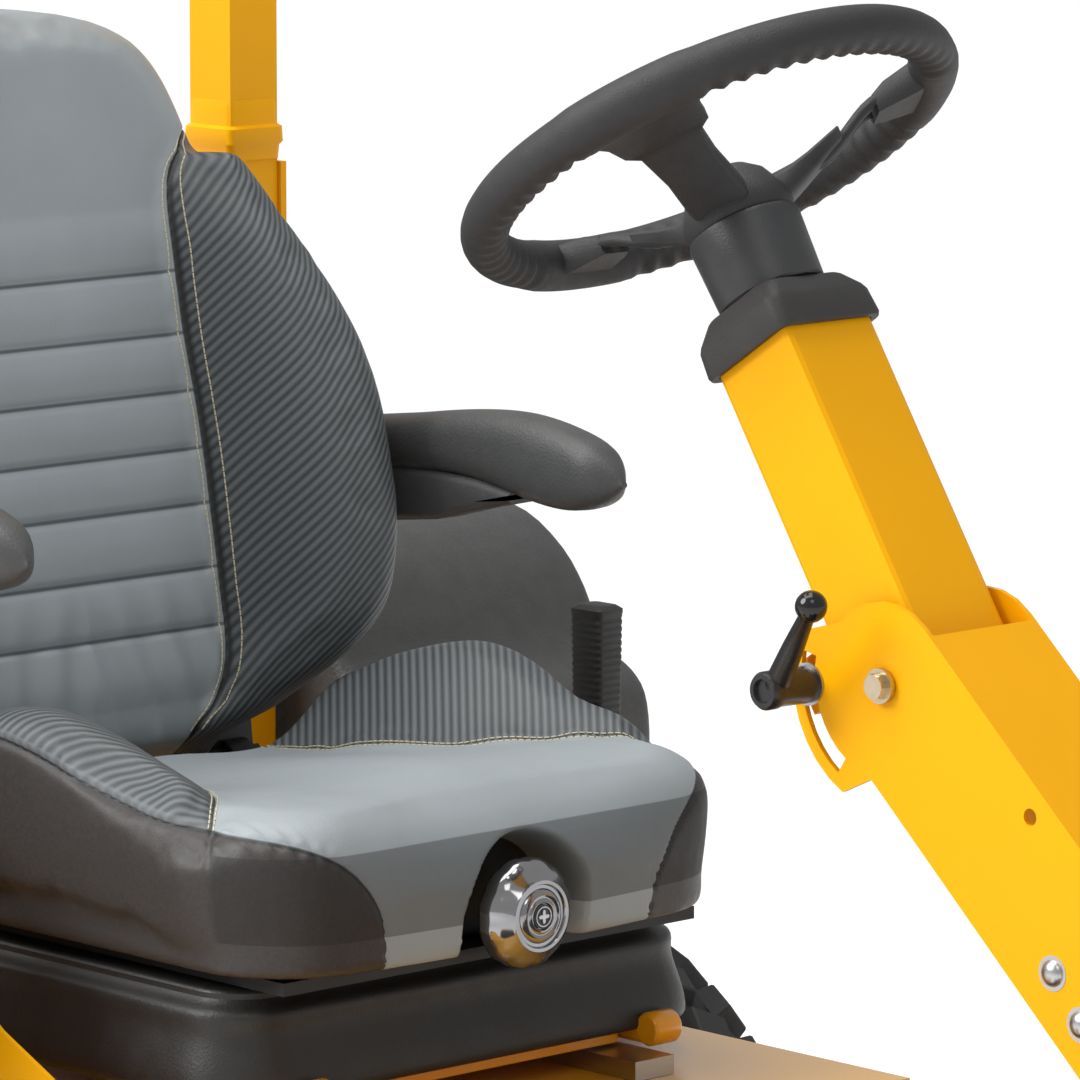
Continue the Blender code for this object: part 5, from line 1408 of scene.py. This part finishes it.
PEDAL_X, TOE_LOW, TOE_HIGH = 0.735, (0.683, 0.5048), (0.955, 0.5648)
TREAD_PITCH = 0.014
toe_slope = (TOE_HIGH[1] - TOE_LOW[1]) / (TOE_HIGH[0] - TOE_LOW[0])
toe_rise = TOE_LOW[1] + (PEDAL_X - TOE_LOW[0]) * toe_slope + 0.0105
for tag, y, wide, reach in (("forward", -0.215, 0.080, 0.165), ("reverse", -0.120, 0.050, 0.110)):
    plane = Matrix.Translation((PEDAL_X, y, toe_rise)) @ Matrix.Rotation(math.radians(-50), 4, "Y")
    pad_shape = bmesh.new()
    slab_box(pad_shape, (0.030, -wide / 2 + 0.002, 0.0052), (reach - 0.004, wide / 2 - 0.002, 0.0105), plane)
    for k in range(int((reach - 0.05) / TREAD_PITCH)):
        along = 0.040 + TREAD_PITCH * k
        slab_box(pad_shape, (along - 0.0035, -wide / 2 + 0.006, 0.0103),
                 (along + 0.0035, wide / 2 - 0.006, 0.0135), plane)
    finished(tag + "_pedal_tread", pad_shape, mat_rubber, tag + "_pedal", (), 30.0,
             rounding=0.0010)

console_low, console_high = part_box("control_console")
console_shape = bmesh.new()
side_profile = rounded_loop([(-0.404, 0.664), (-0.330, 0.661), (-0.264, 0.664), (-0.243, 0.698),
                             (-0.241, 0.750), (-0.247, 0.796), (-0.290, 0.817), (-0.350, 0.840),
                             (-0.398, 0.857),
                             (-0.405, 0.840), (-0.406, 0.760)], 3)
rings = []
console_y, console_half = (console_low[1] + console_high[1]) / 2, (console_high[1] - console_low[1]) / 2
for k in range(9):
    a = math.radians(-90 + 22.5 * k)
    scale = 1.0 - 0.045 * (1 - math.cos(a)) ** 2
    offset = math.copysign(console_half - 0.012 * (1 - abs(math.sin(a))), math.sin(a)) if k != 4 else 0.0
    rings.append([Vector((-0.325 + (p.x + 0.325) * scale, console_y + offset, 0.750 + (p.y - 0.750) * scale))
                  for p in side_profile])
ring_wall(console_shape, rings)
finished("console_skin", console_shape, tank_plastic, "chassis", ("control_console",),
         50.0)

slope = math.atan2(0.06, 0.16)
CONSOLE_UP = Vector((math.sin(slope), 0, math.cos(slope)))
CONSOLE_BACK = Vector((-math.cos(slope), 0, math.sin(slope)))


def on_console(back, y):
    """A point just above the console's sloping panel."""
    return Vector((-0.245, y, 0.80)) + CONSOLE_BACK * back + CONSOLE_UP * 0.0006


KNOB_SPOT, KEY_SPOT = on_console(0.06, -0.40), on_console(0.06, -0.52)
trim_shape = bmesh.new()
lathe(trim_shape, [(0.010, -0.001), (0.026, -0.001), (0.026, 0.0012), (0.0245, 0.0022), (0.0125, 0.0022),
                   (0.0115, 0.001), (0.010, -0.001)], KNOB_SPOT, CONSOLE_UP, 40)
lathe(trim_shape, [(0.0125, -0.001), (0.0190, -0.001), (0.0190, 0.0030), (0.0175, 0.0042), (0.0135, 0.0042),
                   (0.0125, -0.001)],
      KEY_SPOT, CONSOLE_UP, 32)
finished("console_trim", trim_shape, bright_steel, "chassis")
knob_yellow = speckled("blade_knob_yellow", (0.90, 0.52, 0.01), 0.3, 0.0, (0.06, 60.0))
blade_knob = bmesh.new()
lathe(blade_knob, [(0, 0), (0.008, 0.0), (0.008, 0.016), (0.0125, 0.0195), (0.0185, 0.0225), (0.0205, 0.0265),
                   (0.0200, 0.0310), (0.0165, 0.0355), (0.0090, 0.0378), (0, 0.0382)],
      KNOB_SPOT, CONSOLE_UP, 40)
finished("blade_knob_top", blade_knob, knob_yellow, "pto_knob", ("pto_knob",), 50.0)
key_shape = bmesh.new()
key_plane = Matrix.Translation(KEY_SPOT) @ Matrix((CONSOLE_BACK, Vector((0, 1, 0)),
                                                                  CONSOLE_UP)).transposed().to_4x4()
lathe(key_shape, [(0, 0.0), (0.0105, 0.0), (0.0110, 0.001), (0.0110, 0.0105), (0.0102, 0.0118), (0, 0.0118)],
      KEY_SPOT, CONSOLE_UP, 32)
slab_box(key_shape, (-0.0100, -0.0022, 0.0110), (0.0100, 0.0022, 0.0235), key_plane)
key_red = speckled("key_red_plastic", (0.42, 0.015, 0.012), 0.35, 0.0, (0.1, 90.0))
finished("ignition_key_grip", key_shape, key_red, "key", ("ignition_key",),
         rounding=0.0012)

# ---------------------------------------------------------------- engine, air filter and muffler
# An air-cooled twin: finned barrels on a cast block, a black fan shroud with a slotted screen, a filter
# canister with clamps, and a ribbed steel muffler behind a tube guard.
cast_alloy = speckled("cast_aluminium", (0.42, 0.42, 0.41), 0.5, 0.9, (0.25, 25.0, 4.0),
                      (400.0, 3.0, 0.4, 0.0006))
dress(cast_alloy, "engine_block", "drive_unit_left", "drive_unit_right")
dress(tank_plastic, "discharge_chute")
dress(mat_rubber, "deck_belt")
fin_shape = bmesh.new()
for side_sign in (1, -1):
    for k in range(11):
        y = side_sign * (0.112 + 0.0078 * k)
        slab_box(fin_shape, (-0.866, y - 0.0016, 0.464), (-0.754, y + 0.0016, 0.606))
finished("engine_fins", fin_shape, cast_alloy, "chassis", (), 30.0)
shroud_shape = bmesh.new()
COVER_AT = Vector((-0.835, 0.0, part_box("engine_cover")[0][2]))
lathe(shroud_shape, [(0.0, 0.0), (0.146, 0.0), (0.150, 0.003), (0.150, 0.088), (0.147, 0.100),
                     (0.136, 0.121), (0.112, 0.137),
                     (0.094, 0.1405), (0.092, 0.1425), (0.092, 0.1455), (0.089, 0.1480), (0.030, 0.1480),
                     (0.027, 0.1500), (0.0, 0.1500)], COVER_AT, (0, 0, 1), 64)
SCREEN_BARS = 40
for k in range(SCREEN_BARS):
    a = math.tau * k / SCREEN_BARS
    spin = Matrix.Translation(COVER_AT) @ Matrix.Rotation(a, 4, "Z")
    slab_box(shroud_shape, (0.033, -0.0014, 0.1470), (0.087, 0.0014, 0.1500), spin)
lathe(shroud_shape, [(0.056, 0.1470), (0.060, 0.1470), (0.060, 0.1500), (0.056, 0.1500), (0.056, 0.1470)],
      COVER_AT, (0, 0, 1), 40)
lathe(shroud_shape, [(0, -0.129), (0.046, -0.129), (0.050, -0.125), (0.051, -0.088), (0.0545, -0.086),
                     (0.0545, -0.078), (0.051, -0.076), (0.051, 0.076), (0.0545, 0.078), (0.0545, 0.086),
                     (0.051, 0.088), (0.050, 0.125), (0.046, 0.129), (0.020, 0.129), (0.018, 0.126),
                     (0, 0.126)],
      (-0.835, 0, 0.820), (0, 1, 0), 48)
engine_black = speckled("engine_shroud_plastic", (0.020, 0.020, 0.021), 0.42, 0.0, (0.25, 14.0, 4.0),
                        (700.0, 2.0, 0.25, 0.0003))
finished("engine_shroud", shroud_shape, engine_black, "chassis", ("engine_cover",),
         45.0)

heated_steel = speckled("heated_steel", (0.30, 0.27, 0.24), 0.42, 1.0, (0.35, 18.0, 5.0))
muffler_shape = bmesh.new()
muffler_profile = [(0, -0.159), (0.034, -0.159), (0.042, -0.154), (0.0452, -0.146)]
for k in range(9):
    y = -0.112 + 0.028 * k
    muffler_profile += [(0.0430, y - 0.006), (0.0452, y - 0.003), (0.0452, y + 0.003), (0.0430, y + 0.006)]
muffler_profile += [(0.0452, 0.146), (0.042, 0.154), (0.034, 0.159), (0, 0.159)]
lathe(muffler_shape, muffler_profile, (-0.951, 0, 0.515), (0, 1, 0), 40)
finished("muffler_shell", muffler_shape, heated_steel, "chassis", ("muffler",), 45.0)
